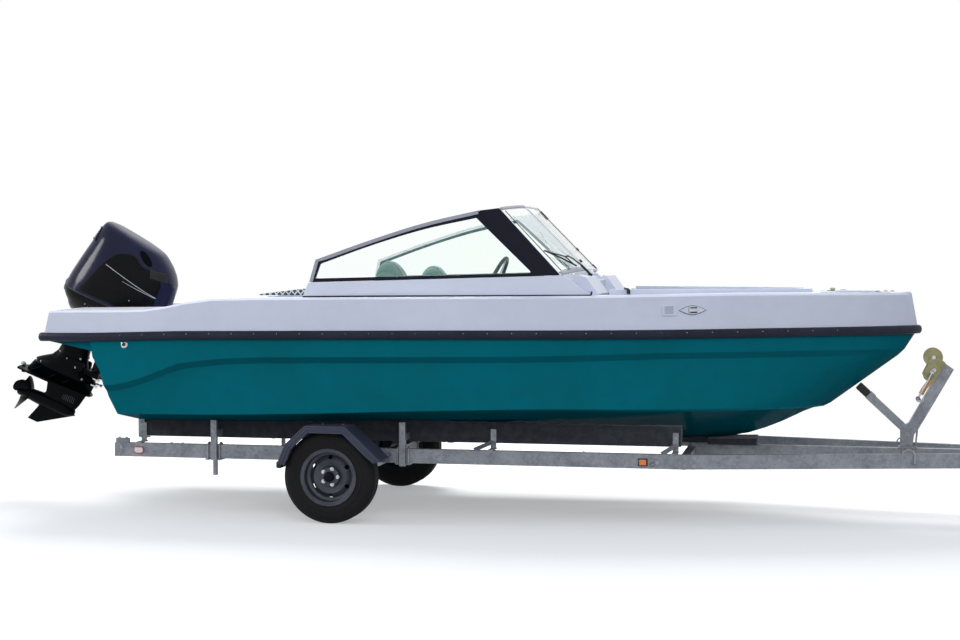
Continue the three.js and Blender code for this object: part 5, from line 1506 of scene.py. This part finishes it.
def frame_fittings():
    proud = -FRAME_SIDE - 0.0005
    clamps = gather([saddle(x) for x in (1.168, 1.257, 2.581, 2.658)])
    piece("frame_u_bolts", clamps, "cast_zinc", rounded=0.0008, mirror=True)
    rows = ((1.22, 0.65), (1.22, 0.6), (2.619, 0.66), (2.619, 0.61))
    heads = bolts([at(x, -0.8065, z) for x, z in rows], STARBOARD)
    for x, z in ((4.6, 0.478), (4.6, 0.424), (4.66, 0.478), (4.66, 0.424), (0.5, 0.47)):
        heads = heads + bolt(at(x, proud + max(x - SPLICE, 0) * 0.2355, z),
                             (0.23 * (x > SPLICE), -1, 0), 0.009)
    heads = heads + bolts([at(x, -FRAME_MID, 0.532) for x in (0.475, 0.53)], UP)
    piece("frame_bolts", heads, "cast_zinc", mirror=True)
    tabs = gather([block(x - 0.007, x + 0.007, -0.776, -0.755, 0.5, 0.509).moved(FROM_AFT)
                   for x in (0.883, 0.968, 3.9)])
    piece("cable_tabs", tabs, "cast_zinc", rounded=0.001, mirror=True)
    ends = (block(0.588, 0.634, -0.6665, -0.6605, 0.532, 0.69)
            + block(0.604, 0.6115, -0.664, -0.556, 0.532, 0.69)
            + block(0.604, 0.66, -0.664, -0.61, 0.529, 0.5355)).moved(FROM_AFT)
    ends = ends + bolts([at(0.611, -0.667, z) for z in (0.57, 0.64)], STARBOARD)
    piece("bunk_end_brackets", ends, "galvanised", rounded=0.0015, mirror=True)
    braces = gather([swept([at(x, -0.67, 0.555), at(x - run, -0.746, 0.5015)], flat(0.019, 0.003),
                           up=(0, -0.6, 0.8))
                     for x, run in ((3.252, 0.125), (4.532, 0.09))])
    piece("bunk_braces", braces, "galvanised", rounded=0.0015, mirror=True)
    heads = bolts([at(x, -0.6685, 0.6) for x in (3.248, 4.528)], STARBOARD)
    piece("bunk_post_bolts", heads, "cast_zinc", mirror=True)
    marker = face_frame(at(0.637, -FRAME_SIDE - 0.0003, 0.449), AHEAD, UP)
    lens = oblong(0.066, 0.04, 0.0, 0.011, 0.0195).moved(marker)
    ring = ring_between(softened(flat(0.04, 0.026), 0.0255, 8),
                        softened(flat(0.033, 0.02), 0.0195, 8),
                        lambda p: (p.x, p.y, 0.0), lambda p: (p.x, p.y, 0.009))
    piece("marker_lens", lens, "lens_white", rounded=0.003, mirror=True)
    piece("marker_rim", ring.moved(marker), "lens_red", rounded=0.0015, mirror=True)
    plug = (block(4.366, 4.372, -0.79, proud, 0.424, 0.466) + block(4.366, 4.392, -0.79, -0.784, 0.452, 0.466)
            + block(4.366, 4.392, -0.79, -0.784, 0.424, 0.436)
            + block(4.396, 4.424, -0.787, proud, 0.43, 0.462))
    piece("lamp_plug", plug.moved(FROM_AFT), "cast_zinc", rounded=0.002, mirror=True)
    seat = block(4.28, 4.346, -0.779, proud, 0.418, 0.47).moved(FROM_AFT)
    piece("lamp_seat", seat, "seal_black", rounded=0.001, mirror=True)
    joint = block(4.586, 4.6, -0.7765, -0.74, 0.3985, 0.5015).moved(FROM_AFT)
    piece("splice_plates", joint, "galvanised", rounded=0.001, mirror=True)
    props = gather([rod(at(x, 0, 0.499), at(x, 0, 0.513), 0.02) for x in (4.84, 4.93)])
    piece("pad_props", props, "cast_zinc")


def winch_details():
    x, z = WINCH
    roll = ring_round([(0.0345, -0.0305), (0.047, -0.0305), (0.047, 0.0305), (0.0345, 0.0305)],
                      at(x, 0, z), PORT, 36)
    piece("winch_roll", roll, "strap_orange", "winch_drum", rounded=0.002)
    tail = smooth_path([at(6.262, 0, 1.04), at(6.262, -0.046, 0.985), at(6.225, -0.046, 0.93),
                        at(6.2, -0.045, 0.885)], 5)
    webbing = swept(tail, flat(0.018, 0.0015), up=PORT)
    piece("winch_webbing", webbing, "strap_orange", rounded=0.0008)
    hook = smooth_path([at(6.198, -0.046, 0.89), at(6.185, -0.046, 0.86), at(6.196, -0.046, 0.832),
                        at(6.215, -0.046, 0.84), at(6.216, -0.046, 0.862)], 5)
    piece("winch_hook", swept(hook, 0.0055), "bright_steel")
    grip = rod(at(x - 0.106, -0.082, z - 0.29), at(x - 0.106, -0.19, z - 0.29), 0.0165, 16)
    piece("crank_grip", grip, "seal_black", "winch_crank", rounded=0.004)
    sleeve = swept([at(x - 0.03, -0.0865, z - 0.143), at(x - 0.1, -0.0865, z - 0.278)],
                   [(-0.0105, -0.006), (0.0105, -0.006), (0.0125, 0), (0.0105, 0.006), (-0.0105, 0.006),
                    (-0.0125, 0)])
    piece("crank_sleeve", sleeve, "silver_line", "winch_crank", rounded=0.002)
    spots = ((0.006, -0.09), (0.002, 0.0), (-0.01, -0.105))
    heads = bolts([at(x + a, -0.0505, z + b) for a, b in spots], STARBOARD, 0.009, 0.004)
    piece("winch_bolts", heads, "bright_steel", mirror=True)
    corners = ((6.262, 1.152), (6.282, 1.166), (6.372, 1.108), (6.3, 0.985), (6.286, 0.966), (6.226, 0.99),
               (6.212, 1.03), (6.244, 1.096))
    outline = softened([Vector(p) for p in corners], 0.014, 4)
    cheek = skin([[at(p.x, y, p.y) for p in outline] for y in (-0.05, -0.044)])
    piece("winch_cheeks", cheek + cheek.mirrored(), "yellow_zinc", rounded=0.0015, stands_for="winch_frame")
    spacers = gather([rod(at(px, -0.044, pz), at(px, 0.044, pz), 0.008, 14)
                      for px, pz in ((6.33, 1.1), (6.29, 1.02))])
    piece("winch_spacers", spacers, "yellow_zinc")
    flanges = gather([ring_round([(0.012, s * 0.0365), (0.063, s * 0.0365), (0.066, s * 0.0385),
                                  (0.063, s * 0.0405),
                                  (0.012, s * 0.0405)], at(x, 0, z), PORT, 48) for s in (-1, 1)])
    piece("winch_flanges", flanges, "yellow_zinc", "winch_drum", sharp=50)
    wheel = ring_round([(0.014, 0.052), (0.05, 0.052), (0.053, 0.054), (0.053, 0.058), (0.05, 0.06),
                        (0.014, 0.06)],
                       at(x, 0, z), PORT, 40)
    piece("winch_gear", wheel, "yellow_zinc", "winch_drum", sharp=50)
    collar = swept([at(5.872, 0, 0.846), at(5.84, 0, 0.8762)], flat(0.031, 0.035), up=PORT)
    spots = ((6.11, 0.6), (6.125, 0.53), (6.165, 0.68), (6.38, 1.05))
    pins = bolts([at(px, -0.0385, pz) for px, pz in spots], STARBOARD, 0.011, 0.005)
    pins = pins + bolt(at(5.858, -0.0315, 0.861), STARBOARD, 0.009)
    piece("post_bolts", pins, "cast_zinc", mirror=True)
    piece("bow_stop_collar", collar, "galvanised", rounded=0.003)
    loops = gather([u_bolt(px, 0, 0.405, 0.53, 0.1, 0.006, across="y") for px in (6.08, 6.155)])
    piece("post_u_bolts", loops, "cast_zinc")
    arm = FRAME_MID - (6.1 - SPLICE) * (FRAME_MID - ARM_END[1]) / (ARM_END[0] - SPLICE)
    piece("lashing_hoop", u_bolt(6.1, -arm - 0.034, 0.432, 0.532, 0.084, 0.0055), "cast_zinc", mirror=True)


def drawbar_details():
    lever = smooth_path([at(7.79, 0, 0.505), at(7.76, 0, 0.55), at(7.68, 0, 0.568), at(7.63, 0, 0.552)], 5)
    piece("coupling_lever", swept(lever, flat(0.016, 0.005)), "bracket_black", rounded=0.003)
    heads = bolts([at(x, -0.0565, 0.46) for x in (7.64, 7.7, 7.76)], STARBOARD, 0.01, 0.005)
    piece("coupling_bolts", heads, "bright_steel", mirror=True)
    top = at(7.422, -0.19, 0.88)
    piece("jockey_grip", rod(top, top + Vector((0, 0, 0.1)), 0.016, 16), "seal_black", rounded=0.005)
    stem = rod(at(7.33, -0.235, 0.46), at(7.33, -0.28, 0.46), 0.008)
    bar = rod(at(7.33, -0.278, 0.42), at(7.33, -0.278, 0.5), 0.006)
    piece("jockey_screw_handle", stem + bar, "bright_steel", rounded=0.001)
    x, y, z = 7.29, -0.19, 0.1
    hub = turned([(0.028, -0.033), (0.028, 0.033)], at(x, y, z), PORT, 20)
    piece("jockey_hub", hub, "cast_zinc", "jockey_wheel", rounded=0.001)
    nuts = gather([bolt(at(x, y + s * 0.0445, z), (0, s, 0), 0.009) for s in (-1, 1)])
    piece("jockey_axle_nuts", nuts, "bright_steel", "jockey_fork")


wheels()
fender_trim()
frame_fittings()
winch_details()
drawbar_details()
